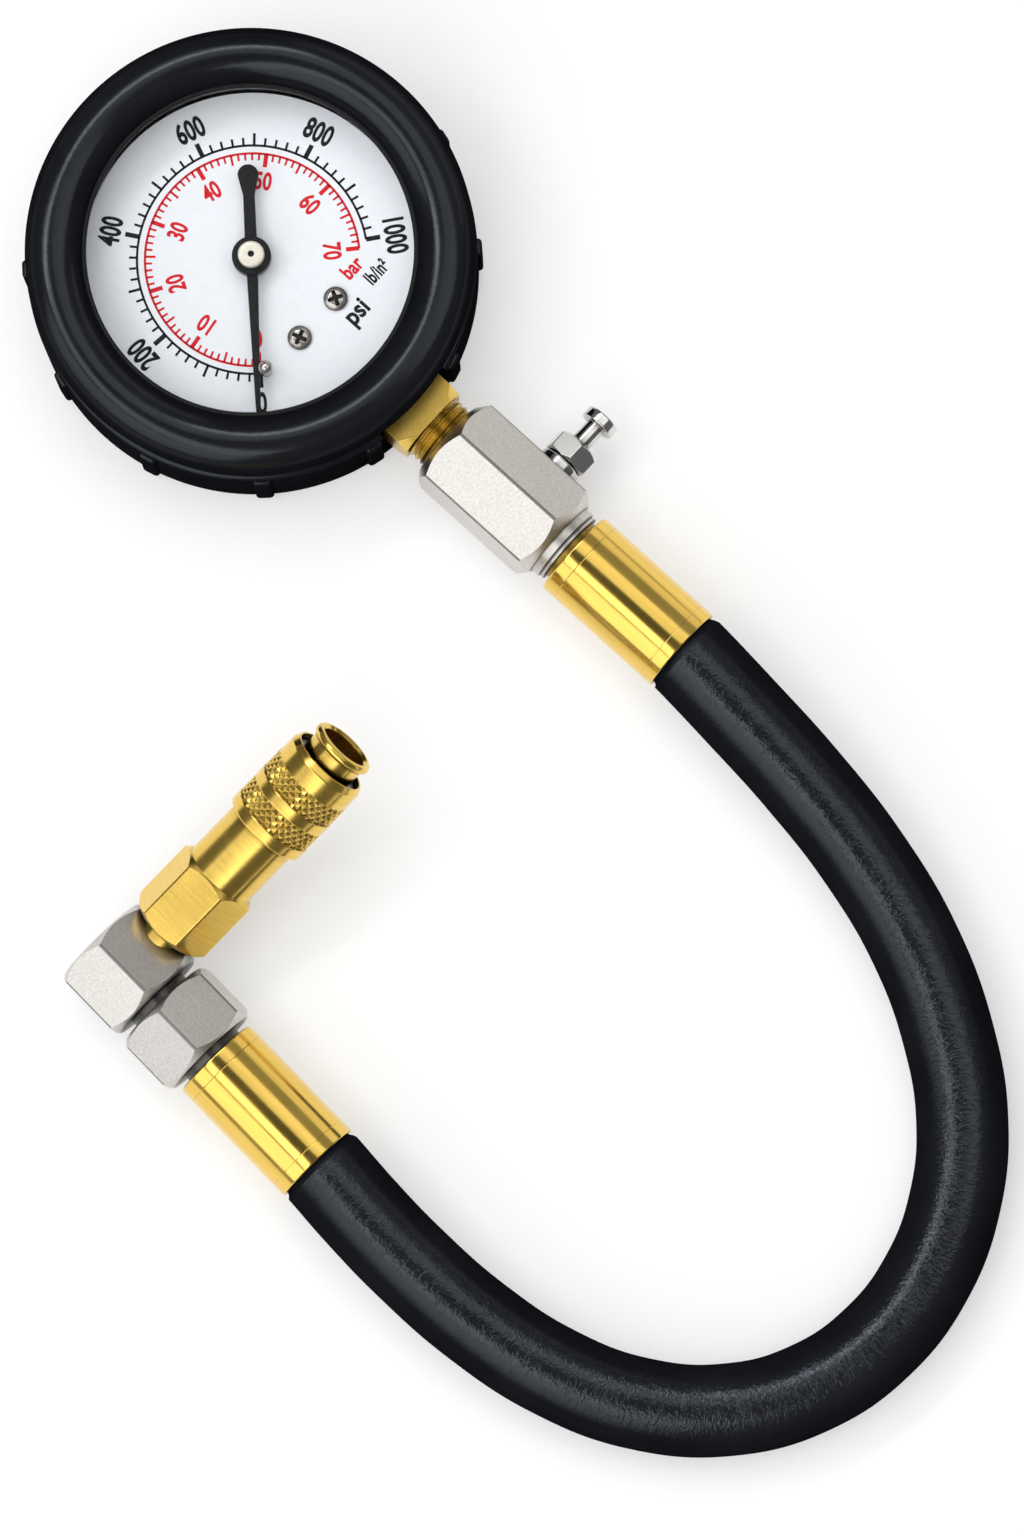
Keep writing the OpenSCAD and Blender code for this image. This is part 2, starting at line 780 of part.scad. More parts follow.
// Flattened tube section with round ends, standing along the height
module tube_section(width, height) {
    straight = height - width;
    translate([-width / 2, -straight / 2]) square([width, straight]);
    for (s = [-1, 1]) translate([0, s * straight / 2]) circle(d = width);
}

module bourdon_tube() color(brass) {
    translate([0, 0, tube_z]) rotate(tube_from) rotate_extrude(angle = tube_turn)
        translate([tube_r, 0]) difference() {
            tube_section(tube_t, tube_h);
            tube_section(tube_t - 2 * tube_wall, tube_h - 2 * tube_wall);
        }
}

// Outline with round corners about the plate's four spots, taken counter-clockwise
module plate_outline() {
    count = len(plate_spots);
    normals = [for (i = [0 : count - 1])
        let (d = plate_spots[(i + 1) % count] - plate_spots[i]) atan2(d[1], d[0]) - 90];
    polygon([for (i = [0 : count - 1])
        let (from = normals[(i + count - 1) % count], turn = (normals[i] - from + 720) % 360)
        for (k = [0 : corner_steps])
            let (a = from + turn * k / corner_steps) plate_spots[i] + plate_margin * [cos(a), sin(a)]]);
}

module movement_plate(z, pillar_hole_r, extra_spots, arbor_hole_r) {
    translate([0, 0, z]) linear_extrude(plate_t) difference() {
        plate_outline();
        circle(r = arbor_hole_r);
        translate(sector_pivot) circle(r = pivot_r + run_fit);
        for (p = pillar_spots) translate(p) circle(r = pillar_hole_r);
        for (p = extra_spots) translate(p) circle(r = screw_r + seat_fit);
    }
}

module back_plate() color(brass) {
    movement_plate(plate_z, screw_r, socket_screw_spots, pivot_r + run_fit);
}

module front_plate() color(brass) {
    movement_plate(front_plate_z, screw_r + seat_fit, [], arbor_r + run_fit);
}

module plate_pillars() color(brass) {
    for (p = pillar_spots) translate([p[0], p[1], 0]) difference() {
        union() {
            drill(2 * screw_r, plate_z, plate_z + plate_t + tiny);
            drill(2 * pillar_r, plate_z + plate_t, front_plate_z);
        }
        drill(2 * (screw_r + seat_fit), front_plate_z - screw_len - screw_room, front_plate_z + cut);
    }
}

module plate_screws() color(steel) {
    for (p = pillar_spots) translate([p[0], p[1], 0]) {
        drill(2 * screw_r, front_plate_z - screw_len, front_plate_top + tiny);
        drill(2 * screw_head_r, front_plate_top, front_plate_top + screw_head_h);
    }
}

module socket_screws() color(steel) {
    for (p = socket_screw_spots) translate([p[0], p[1], 0]) {
        drill(2 * screw_r, plate_z - screw_len, plate_z + plate_t + tiny);
        drill(2 * screw_head_r, plate_z + plate_t, plate_z + plate_t + screw_head_h);
    }
}

// Stem with the block that carries the tube, the movement and the dial
module gauge_socket() color(brass) {
    difference() {
        union() {
            translate([-block_w / 2, 0, 0]) rotate([90, 0, 90]) linear_extrude(block_w)
                polygon([[-block_out, case_floor], [-ledge_in, case_floor], [-ledge_in, ledge_z],
                    [-block_in, ledge_z], [-block_in, dial_back], [-block_out, dial_back]]);
            rotate(tube_root) translate([tube_r - boss_w / 2, 0, tube_z - tube_h / 2 - boss_rise])
                cube([boss_w, boss_len, tube_h + 2 * boss_rise]);
            stem_place() {
                intersection() {
                    drill(neck_d, block_out - cut, neck_from + tiny);
                    translate([-neck_d, -neck_d, 0])
                        cube([2 * neck_d, neck_d + dial_back - free_fit - stem_z, neck_from + cut]);
                }
                drill(neck_d, neck_from, flats_from + cut);
                intersection() {
                    translate([-stem_flats / 2, -stem_flats / 2, flats_from])
                        cube([stem_flats, stem_flats, flats_to - flats_from]);
                    rotate_extrude() polygon([[0, flats_from], [stem_flats, flats_from],
                        [stem_flats, flats_to - stem_flats + flats_chamfer_d / 2],
                        [flats_chamfer_d / 2, flats_to], [0, flats_to]]);
                }
                drill(stem_thread_d - 2 * thread_depth, flats_to - cut, adaptor_from + thread_start + cut);
                drill(stem_thread_d, adaptor_from + thread_start, stem_thread_end);
            }
        }
        stem_place() drill(stem_bore_d, stem_bore_end, stem_thread_end + cut);
        rotate(tube_root) translate([tube_r, -cut, stem_z]) rotate([-90, 0, 0])
            cylinder(d = tube_bore_d, h = tube_r / 2 + cut);
        dial_screw_spots()
            drill(dial_screw_d + 2 * seat_fit, dial_back - dial_screw_len - screw_room, dial_back + cut);
        for (p = socket_screw_spots) translate([p[0], p[1], 0])
            drill(2 * (screw_r + seat_fit), plate_z - screw_len - screw_room, ledge_z + cut);
        for (x = [-case_screw_x, case_screw_x]) translate([x, -case_screw_y, case_floor])
            drill(case_screw_d + 2 * seat_fit, -cut, case_screw_len + screw_room);
    }
}

module case_screws() color(nickel) {
    for (x = [-case_screw_x, case_screw_x]) translate([x, -case_screw_y, 0]) {
        drill(case_screw_head_d, case_z - case_screw_head_h, case_z);
        drill(case_screw_d, case_z - tiny, case_floor + case_screw_len);
    }
}

// Adaptor and release valve
module adaptor_body() color(nickel) {
    difference() {
        stem_place() {
            translate([0, 0, adaptor_from]) rotate(adaptor_turn) hex_bar(adaptor_af, adaptor_len, hex_ratio);
            drill(adaptor_collar_d, adaptor_to - cut, collar_to);
        }
        stem_place() {
            drill(stem_thread_d + 2 * thread_fit, adaptor_from - cut, adaptor_thread_end);
            drill(adaptor_bore_d, adaptor_thread_end - cut, collar_to);
            drill(tail_thread_d + 2 * thread_fit, collar_to - tail_thread_hole, collar_to + cut);
        }
        valve_place() {
            drill(valve_chamber_d, valve_chamber_to, valve_thread_from + cut);
            drill(valve_thread_d + 2 * thread_fit, valve_thread_from, adaptor_af);
        }
    }
}

module valve_body() color(nickel) {
    valve_place() difference() {
        union() {
            drill(valve_thread_d, valve_thread_from, valve_seat + tiny);
            drill(valve_collar_d, valve_seat, valve_nut_from + tiny);
            translate([0, 0, valve_nut_from]) rotate(valve_turn) hex_bar(valve_af, valve_nut_len, hex_ratio);
        }
        drill(button_stem_d + 2 * run_fit, valve_thread_from - cut, valve_nut_to + cut);
    }
}

module valve_button() color(nickel) {
    head_r = button_head_d / 2;
    head_to = button_head_from + button_head_len;
    valve_place() {
        drill(poppet_d, poppet_from, poppet_from + poppet_t);
        drill(button_stem_d, poppet_from, button_head_from + tiny);
        rotate_extrude() polygon([[0, button_head_from], [head_r - button_head_edge, button_head_from],
            [head_r, button_head_from + button_head_edge], [head_r, head_to - button_head_edge],
            [head_r - button_head_edge, head_to], [0, head_to]]);
    }
}

module valve_seal() color(rubber_black) {
    valve_place() translate([0, 0, poppet_from + poppet_t])
        ring(poppet_d / 2, button_stem_d / 2, valve_seal_t);
}

module valve_spring() color(steel) {
    valve_place() coil(valve_coil_r, valve_wire_r, valve_coil_turns, valve_chamber_to, poppet_from);
}

// Barbed tail from its flange to just inside the ferrule's mouth, along +Z from zero
module barbs() {
    barb_r = tail_d / 2;
    end = ferrule_len - tail_short;
    drill(tail_neck_d, -tiny, tail_neck_len);
    drill(2 * (barb_r - barb_drop), 0, end);
    for (i = [0 : barb_count - 1]) translate([0, 0, end - (i + 1) * barb_step - barb_end])
        cylinder(r1 = barb_r, r2 = barb_r - barb_drop, h = barb_step);
}

module hose_tail() color(brass) {
    stem_place() difference() {
        union() {
            drill(tail_thread_d, collar_to - tail_thread_len, collar_to + tiny);
            drill(flange_d, collar_to, ferrule_gauge_from);
            translate([0, 0, ferrule_gauge_from]) barbs();
        }
        drill(adaptor_bore_d, collar_to - tail_thread_hole, ferrule_gauge_from + ferrule_len);
    }
}

// Crimped ferrule, closed at zero apart from the tail's hole, open at its mouth
module ferrule() {
    r = ferrule_d / 2;
    wall_r = r - ferrule_wall;
    rotate_extrude() polygon([[tail_neck_d / 2 + seat_fit, 0], [r - ferrule_edge, 0], [r, ferrule_edge],
        [r, ferrule_len - ferrule_edge], [r - ferrule_edge, ferrule_len], [wall_r, ferrule_len],
        [wall_r, ferrule_floor], [tail_neck_d / 2 + seat_fit, ferrule_floor]]);
}

module ferrule_gauge() color(brass) {
    stem_place() translate([0, 0, ferrule_gauge_from]) ferrule();
}

module ferrule_coupler() color(brass) {
    elbow_place() translate([0, 0, ferrule_coupler_from]) ferrule();
}

module hose() color(rubber_black) {
    hose_r = hose_d / 2;
    start = ferrule_gauge_from + ferrule_floor;
    mouth = ferrule_gauge_from + ferrule_len;
    points = concat(
        [[0, -start, stem_z], [0, -mouth, stem_z], [0, -mouth - hose_lip, stem_z]],
        hose_route,
        [along_elbow(ferrule_coupler_to + hose_lip), along_elbow(ferrule_coupler_to),
            along_elbow(ferrule_coupler_from + ferrule_floor)]);
    radii = concat([hose_squeeze, hose_squeeze, hose_r], [for (p = hose_route) hose_r],
        [hose_r, hose_squeeze, hose_squeeze]);
    swept(points, radii, hose_sides);
}

// Elbow end
module hose_end_fitting() color(nickel) {
    elbow_place() difference() {
        union() {
            drill(fitting_spigot_d, fitting_spigot_from, elbow_half + tiny);
            drill(flange_d, elbow_half, fitting_from + cut);
            translate([0, 0, fitting_from]) rotate(fitting_turn) hex_bar(elbow_af, fitting_len, block_ratio);
            drill(flange_d, fitting_to - cut, ferrule_coupler_from);
            translate([0, 0, ferrule_coupler_from]) barbs();
        }
        drill(elbow_bore_d, fitting_spigot_from - cut, ferrule_coupler_to);
    }
}

module elbow_body() color(nickel) {
    difference() {
        elbow_place() translate([0, 0, -elbow_half]) rotate(elbow_turn)
            hex_bar(elbow_af, elbow_len, block_ratio);
        elbow_place() {
            drill(fitting_spigot_d + 2 * thread_fit, fitting_spigot_from - thread_room, elbow_half + cut);
            drill(elbow_bore_d, -elbow_bore_end, fitting_spigot_from);
        }
        coupler_place() {
            drill(elbow_cross_d, 0, spigot_from);
            drill(spigot_d + 2 * thread_fit, spigot_from - thread_room, elbow_af);
        }
    }
}

// Coupler
module coupler_body() color(brass) {
    body_r = coupler_body_d / 2;
    nose_r = nose_d / 2;
    neck_r = nose_neck_d / 2;
    slot_r = retainer_groove_d / 2;
    slot_to = retainer_from + retainer_t + seat_fit;
    rim_from = nose_to - rim_len;
    rim_mid = (rim_d - rim_len) / 2;
    coupler_place() difference() {
        union() {
            drill(spigot_d, spigot_from, coupler_hex_from + cut);
            translate([0, 0, coupler_hex_from]) rotate(coupler_turn)
                hex_bar(coupler_af, coupler_hex_len, block_ratio);
            rotate_extrude() {
                polygon([[0, coupler_hex_from + cut], [body_r, coupler_hex_to - cut], [body_r, shoulder_at],
                    [nose_r, shoulder_at], [nose_r, retainer_from - seat_fit],
                    [slot_r, retainer_from - seat_fit], [slot_r, slot_to], [neck_r, slot_to],
                    [neck_r, rim_from + rim_len / 2], [rim_mid, nose_to], [0, nose_to]]);
                translate([rim_mid, rim_from + rim_len / 2]) circle(d = rim_len);
            }
        }
        drill(passage_d, spigot_from - cut, nose_to);
        drill(socket_d, socket_from, mouth_from + cut);
        drill(mouth_d, mouth_from, nose_to + cut);
        translate([0, 0, nose_to - mouth_chamfer])
            cylinder(d1 = mouth_d, d2 = mouth_d + 2 * (mouth_chamfer + tiny), h = mouth_chamfer + tiny);
        translate([0, 0, seal_at - seal_r - seat_fit])
            cylinder(r = seal_ring_r + seal_r + seat_fit, h = 2 * (seal_r + seat_fit));
        for (i = [0 : ball_count - 1]) rotate(360 * i / ball_count)
            translate([0, 0, ball_at]) rotate([0, 90, 0]) cylinder(d = ball_hole_d, h = rim_d);
    }
}

// Diamond knurl: a closed band whose outer grid alternates between peak and valley
module knurl_band(from) {
    n = knurl_columns;
    rows = knurl_rows;
    height = knurl_len + 2 * knurl_tuck;
    function spin(i, r, z) = [r * cos(360 * i / n), r * sin(360 * i / n), z];
    function grid_r(i, j) = (i + j) % 2 == 0 ? knurl_peak_r : knurl_peak_r - knurl_depth;
    verts = concat(
        [for (j = [0 : rows]) for (i = [0 : n - 1])
            spin(i, grid_r(i, j), from - knurl_tuck + height * j / rows)],
        [for (z = [from - knurl_tuck, from - knurl_tuck + height]) for (i = [0 : n - 1])
            spin(i, knurl_core_r, z)]);
    low = (rows + 1) * n;
    high = low + n;
    top = rows * n;
    skin = [for (j = [0 : rows - 1]) for (i = [0 : n - 1])
        let (a = j * n + i, b = j * n + (i + 1) % n, c = a + n, d = b + n)
        each (i + j) % 2 == 0 ? [[a, c, b], [b, c, d]] : [[a, d, b], [a, c, d]]];
    core = [for (i = [0 : n - 1]) let (k = (i + 1) % n) each
        [[low + i, low + k, high + k, high + i], [i, k, low + k, low + i],
            [top + k, top + i, high + i, high + k]]];
    polyhedron(points = verts, faces = concat(skin, core));
}

module coupler_sleeve() color(brass) {
    bore_r = sleeve_bore_d / 2;
    outer_r = sleeve_d / 2;
    front_from = knurl_second + knurl_len;
    coupler_place() {
        rotate_extrude() polygon([[bore_r, sleeve_from], [outer_r - sleeve_edge, sleeve_from],
            [outer_r, sleeve_from + sleeve_edge], [outer_r, knurl_first], [knurl_bed_r, knurl_first],
            [knurl_bed_r, knurl_first + knurl_len], [outer_r, knurl_first + knurl_len],
            [outer_r, knurl_second], [knurl_bed_r, knurl_second], [knurl_bed_r, front_from],
            [outer_r, front_from], [sleeve_front_r, front_from + sleeve_edge],
            [sleeve_front_r, sleeve_to - sleeve_nose_len], [sleeve_nose_r, sleeve_to],
            [front_bore_r, sleeve_to], [front_bore_r, land_to], [land_r, land_to], [land_r, land_from],
            [bore_r, land_from]]);
        for (from = [knurl_first, knurl_second]) knurl_band(from);
    }
}

module sleeve_spring() color(steel) {
    coupler_place() coil(sleeve_coil_r, sleeve_wire_r, sleeve_coil_turns, shoulder_at, land_from);
}

module lock_balls() color(steel) {
    coupler_place() for (i = [0 : ball_count - 1]) rotate(360 * i / ball_count)
        translate([ball_ring_r, 0, ball_at]) sphere(d = ball_d);
}

module sleeve_retainer() color(steel) {
    coupler_place() translate([0, 0, retainer_from]) difference() {
        ring(retainer_r, retainer_groove_d / 2, retainer_t);
        translate([0, -retainer_gap / 2, -cut]) cube([rim_d, retainer_gap, retainer_t + 2 * cut]);
    }
}

module coupler_seal() color(rubber_black) {
    coupler_place() translate([0, 0, seal_at])
        rotate_extrude() translate([seal_ring_r, 0]) circle(r = seal_r);
}

rubber_boot();
case_cup();
bezel_ring();
lens_gasket();
lens();
dial_plate();
dial_screws();
stop_pin();
pointer();
pointer_cap();
pinion_shaft();
hairspring();
hairspring_stud();
sector_gear();
sector_arbor();
link();
link_pin();
tube_tip();
bourdon_tube();
back_plate();
front_plate();
plate_pillars();
plate_screws();
socket_screws();
gauge_socket();
case_screws();
adaptor_body();
valve_body();
valve_button();
valve_seal();
valve_spring();
hose_tail();
ferrule_gauge();
hose();
ferrule_coupler();
hose_end_fitting();
elbow_body();
coupler_body();
coupler_sleeve();
sleeve_spring();
lock_balls();
sleeve_retainer();
coupler_seal();
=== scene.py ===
import math

import bpy
from bpy.props import FloatProperty, FloatVectorProperty, IntProperty, PointerProperty
from mathutils import Matrix, Vector


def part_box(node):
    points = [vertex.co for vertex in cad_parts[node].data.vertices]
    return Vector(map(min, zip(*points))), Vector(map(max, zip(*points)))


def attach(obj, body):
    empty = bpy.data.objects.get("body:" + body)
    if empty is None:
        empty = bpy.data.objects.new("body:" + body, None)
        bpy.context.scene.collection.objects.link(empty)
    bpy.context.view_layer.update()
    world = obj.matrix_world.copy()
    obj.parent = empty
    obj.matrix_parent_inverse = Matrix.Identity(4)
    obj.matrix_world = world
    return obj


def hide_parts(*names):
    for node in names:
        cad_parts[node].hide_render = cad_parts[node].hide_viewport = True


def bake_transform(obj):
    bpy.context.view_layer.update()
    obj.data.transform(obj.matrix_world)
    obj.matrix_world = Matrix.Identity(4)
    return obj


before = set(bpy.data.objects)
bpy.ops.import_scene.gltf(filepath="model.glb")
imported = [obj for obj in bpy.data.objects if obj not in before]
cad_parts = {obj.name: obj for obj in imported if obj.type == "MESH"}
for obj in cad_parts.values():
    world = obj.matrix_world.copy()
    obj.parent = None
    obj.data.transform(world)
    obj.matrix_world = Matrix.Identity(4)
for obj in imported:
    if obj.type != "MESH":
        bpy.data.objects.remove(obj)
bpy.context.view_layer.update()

bl_info = {
    "name": "Compression Tester Gauge",
    "version": (1, 0, 0),
    "blender": (4, 5, 0),
    "location": "View3D > Sidebar > Gauge",
    "description": "Models the looks of a compression tester gauge around its CAD frame",
    "category": "Mesh",
}

MM = 0.001


def moved(x, y, z):
    """A move in mm, as a matrix."""
    return Matrix.Translation((x * MM, y * MM, z * MM))


def spun(angle, axis="Z"):
    """A turn in degrees, as a matrix."""
    return Matrix.Rotation(math.radians(angle), 4, axis)


# Where the groups of pieces lie, in mm and degrees
STEM_HEIGHT = 12.0
VALVE_Y = -65.7
VALVE_LEAN = 97
ELBOW_CENTRE = (-109.4, -69.9, 10.9697)
FAR_END_TURN = -3.5
COUPLER_LEAN = 70
STEM = moved(0, 0, STEM_HEIGHT) @ spun(90, "X")
VALVE = moved(0, VALVE_Y, STEM_HEIGHT) @ spun(VALVE_LEAN, "Y")
FAR_END = moved(*ELBOW_CENTRE) @ spun(FAR_END_TURN)
ELBOW = FAR_END @ spun(90, "X")
COUPLER = FAR_END @ spun(COUPLER_LEAN, "Y")

# The camera's place in m, its right, up and back axes, and its lens and sensor in mm
CAMERA_PLACE = (-0.14015, -0.20907, 1.51662)
CAMERA_AXES = (
    (0.67323, -0.73938, -0.0089),
    (0.73624, 0.66916, 0.10087),
    (-0.06862, -0.07446, 0.99486),
)
CAMERA_LENS = 196.915
CAMERA_SENSOR = 36

# Lamps: name, place and size in m, brightness and colour; all look at one point
LAMP_AIM = (-0.05, -0.1, 0.0)
LAMPS = (
    ("left_strip", (-0.75, 0.1, 1.45), (2.4, 0.5), 2.0, (1, 0.99, 0.98)),
    ("left_wall", (-1.65, 0.0, 0.95), (2.6, 1.3), 1.35, (0.98, 0.99, 1)),
    ("back_strip", (0.1, 0.8, 1.5), (1.8, 0.25), 4.6, (0.98, 0.99, 1)),
    ("right_strip", (0.52, 0.0, 1.5), (2.4, 0.8), 0.95, (1, 0.99, 0.97)),
    ("right_wall", (1.9, 0.0, 0.55), (2.4, 0.8), 0.62, (1, 0.97, 0.93)),
    ("top_fill", (-0.1, 0.0, 2.6), (1.8, 1.8), 1.95, (0.98, 0.99, 1)),
)
UNMIRRORED_LAMP = "top_fill"
FLOOR_SIZE = 14
FLOOR_DROP = 0.0001
FLOOR_GLOW = 0.4

# Outlines to be turned about an axis: corners as radius, height and any fillet in mm
BEZEL = [
    (32.05, 22), (33.4, 22, 0.2), (33.4, 28.2, 0.3), (29.4, 28.2, 0.4), (29.4, 27.4, 0.1), (32.05, 27.4),
]
SCREW_HEAD = [
    (1.0, 13.5), (1.0, 17.0), (2.2, 17.0, 0.1), (2.2, 17.7, 0.35), (1.3, 18.2, 0.6), (0.1, 18.3),
]
POINTER_HUB = [(1.0, 19.2), (3.55, 19.2, 0.2), (3.55, 21.8, 0.45), (1.0, 21.8)]
POINTER_CAP = [(1.0, 21.6), (2.4, 21.7), (2.4, 23.6, 0.55), (0.55, 23.6, 0.12), (0.5, 22.7)]
ADAPTOR_COLLAR = [
    (5.1, 74.3), (7.35, 74.3), (7.35, 76.5, 0.35), (6.85, 76.55, 0.08), (6.85, 76.8, 0.08),
    (7.1, 76.8, 0.12), (7.1, 77.4, 0.2), (5.1, 77.4),
]
VALVE_COLLAR = [
    (2.0, 4.2), (3.4, 4.2), (3.4, 8.8), (4.1, 8.8, 0.1), (4.1, 10.85, 0.45), (2.0, 10.85),
]
VALVE_BUTTON = [
    (1.0, 1.6), (1.88, 1.6), (1.88, 20.1, 0.25), (3.35, 20.1, 0.35), (3.35, 22.3, 0.5),
    (2.2, 22.3, 0.15), (2.0, 22.05, 0.15), (0.1, 22.1),
]
FITTING_NECK = [(2.5, 1.5), (4.6, 1.5), (4.6, 7.25), (6.2, 7.25, 0.1), (6.2, 9.2), (2.5, 9.2)]
FITTING_TAIL = [
    (2.5, 20.8), (6.2, 20.8), (6.2, 22.4, 0.15), (4.5, 22.4), (4.5, 47.0, 0.3), (2.5, 47.0),
]
COUPLER_BODY = [
    (2.5, 6.3), (5.0, 6.3, 0.3), (5.0, 24.4), (6.9, 24.4), (6.9, 40, 0.4), (5.5, 40),
    (5.5, 52.35, 0.1), (5.18, 52.35), (5.18, 53.3), (5.35, 53.3),
]
COUPLER_BORE = [(5.1, 58.5), (4.6, 58.0), (4.6, 52.8), (4.4, 52.8), (4.4, 37.4), (2.5, 37.4)]

# Centreline of the hose in mm, with the radius as a share of the hose's own
HOSE_ROUTE = [
    (0, -79.6, 12, 0.9036), (0, -104.8, 12, 0.9036), (0, -106, 12, 1), (-1, -120, 11, 1),
    (-2.5, -136.1, 9.6, 1), (-5.5, -153.8, 8.6, 1), (-11, -171.5, 8.4, 1), (-19.2, -187, 8.4, 1),
    (-28.6, -198.7, 8.4, 1), (-40.2, -207.5, 8.4, 1), (-54, -213, 8.4, 1), (-68.5, -214.2, 8.4, 1),
    (-82.7, -210.8, 8.4, 1), (-95.2, -202.8, 8.4, 1), (-105.4, -190, 8.4, 1), (-111.4, -175, 8.4, 1),
    (-114.1, -158.5, 8.7, 1), (-114.4, -142.5, 9.6, 1), (-113.6, -130, 10.7, 1),
    (-112.452, -119.807, 10.97, 1), (-112.379, -118.609, 10.97, 0.9036), (-110.841, -93.456, 10.97, 0.9036),
]

FAR_END_NODES = ("lock_balls", "sleeve_retainer", "coupler_seal")
FAR_END_PIECES = ("coupler_ferrule", "hose_fitting", "elbow", "coupler", "sleeve", "sleeve_coil")


# Selecting and finishing


def object_mode():
    """Closes the open mesh."""
    bpy.ops.object.mode_set(mode="OBJECT")


def select_all():
    """Selects all of the open mesh."""
    bpy.ops.mesh.select_all(action="SELECT")


def settle():
    """Leaves object mode set and nothing selected."""
    if bpy.context.object and bpy.context.object.mode != "OBJECT":
        object_mode()
    bpy.ops.object.select_all(action="DESELECT")


def pick(*pieces):
    """Selects only these objects, the first one active."""
    settle()
    for piece in pieces:
        piece.select_set(True)
    bpy.context.view_layer.objects.active = pieces[0]


def named(name):
    """The object just added, under its name."""
    piece = bpy.context.object
    piece.name = name
    return piece


def open_mesh(piece, action="DESELECT"):
    """Opens a mesh for editing with nothing in it selected, or all of it."""
    pick(piece)
    bpy.ops.object.mode_set(mode="EDIT")
    bpy.ops.mesh.select_mode(type="VERT")
    bpy.ops.mesh.select_all(action=action)


def edit_all():
    """Opens the mesh just added with all of it selected."""
    bpy.ops.object.mode_set(mode="EDIT")
    select_all()


def slide(x, y, z):
    """Moves what is selected by a step in mm."""
    bpy.ops.transform.translate(value=(x * MM, y * MM, z * MM))


def extrude(x, y, z):
    """Extrudes what is selected by a step in mm."""
    bpy.ops.mesh.extrude_region_move(TRANSFORM_OT_translate={"value": (x * MM, y * MM, z * MM)})


def resize(x, y, z):
    """Scales what is selected about the origin."""
    bpy.ops.transform.resize(value=(x, y, z), center_override=(0, 0, 0))


def select_where(piece, kind, test):
    """Selects the vertices or edges whose ends, in mm, pass the test."""
    bpy.ops.mesh.select_mode(type=kind)
    bpy.ops.mesh.select_all(action="DESELECT")
    object_mode()
    mesh = piece.data
    for part in mesh.edges if kind == "EDGE" else mesh.vertices:
        ends = part.vertices if kind == "EDGE" else [part.index]
        part.select = bool(test(*(mesh.vertices[i].co / MM for i in ends)))
    bpy.ops.object.mode_set(mode="EDIT")


def close_mesh():
    """Merges doubles, turns the normals outward and returns to object mode."""
    select_all()
    bpy.ops.mesh.remove_doubles(threshold=1e-6)
    bpy.ops.mesh.normals_make_consistent(inside=False)
    object_mode()


def smooth(piece, angle=35):
    """Smooths the faces that meet at less than the angle."""
    pick(piece)
    bpy.ops.object.shade_smooth_by_angle(angle=math.radians(angle))


def place(piece, matrix):
    """Puts a piece in its place and applies that to its mesh."""
    piece.matrix_world = matrix
    pick(piece)
    bpy.ops.object.transform_apply(location=True, rotation=True, scale=True)


def apply_modifier(piece, kind, **settings):
    """Adds one modifier with these settings and applies it."""
    pick(piece)
    modifier = piece.modifiers.new(kind.title(), kind)
    for key, value in settings.items():
        setattr(modifier, key, value)
    bpy.ops.object.modifier_apply(modifier=modifier.name)


def combine(piece, tool, operation):
    """Cuts or joins a piece with a tool by a boolean, then removes the tool."""
    apply_modifier(piece, "BOOLEAN", object=tool, operation=operation, solver="EXACT")
    bpy.data.objects.remove(tool)


def join(name, *pieces):
    """Joins pieces into one object."""
    pick(*pieces)
    bpy.ops.object.join()
    bpy.context.object.name = name
    return bpy.context.object


def copy(piece, matrix):
    """A copy with its own mesh, placed by the matrix."""
    twin = piece.copy()
    twin.data = piece.data.copy()
    bpy.context.collection.objects.link(twin)
    place(twin, matrix)
    return twin


def paint(piece, finish):
    """Gives an object one material, by its name."""
    piece.data.materials.clear()
    piece.data.materials.append(finish_of(finish))


def dress(piece, finish, body, slot, *nodes):
    """Gives a finished piece its material, the nodes it stands for and, unless it bends, its body; its slot is not
    used.
    """
    apply_modifier(piece, "WEIGHTED_NORMAL", keep_sharp=True)
    paint(piece, finish)
    if body:
        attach(piece, body)
    if nodes:
        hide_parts(*nodes)


def paint_nodes(finish, *nodes):
    """Gives CAD nodes that stay in view a material."""
    for name in nodes:
        paint(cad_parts[name], finish)


# Shapes


def rounded(corners, steps=5):
    """Rounds the corners (radius, height and any fillet) of an outline in mm."""
    outline = []
    for i, (r, z, *fillet) in enumerate(corners):
        corner = Vector((r, z))
        if not fillet:
            outline.append((r, z))
            continue
        before = Vector(corners[i - 1][:2]) - corner
        after = Vector(corners[(i + 1) % len(corners)][:2]) - corner
        reach = fillet[0] / math.tan(before.angle(after) / 2)
        reach = min(reach, 0.49 * before.length, 0.49 * after.length)
        start = corner + before.normalized() * reach
        end = corner + after.normalized() * reach
        for k in range(steps + 1):
            t = k / steps
            outline.append(tuple((1 - t) ** 2 * start + 2 * t * (1 - t) * corner + t * t * end))
    return outline


def arc(r, z, radius, start, end, steps):
    """Points on an arc of an outline in mm, from one angle to the other."""
    angles = [math.radians(start + (end - start) * k / steps) for k in range(steps + 1)]
    return [(r + radius * math.cos(a), z + radius * math.sin(a)) for a in angles]


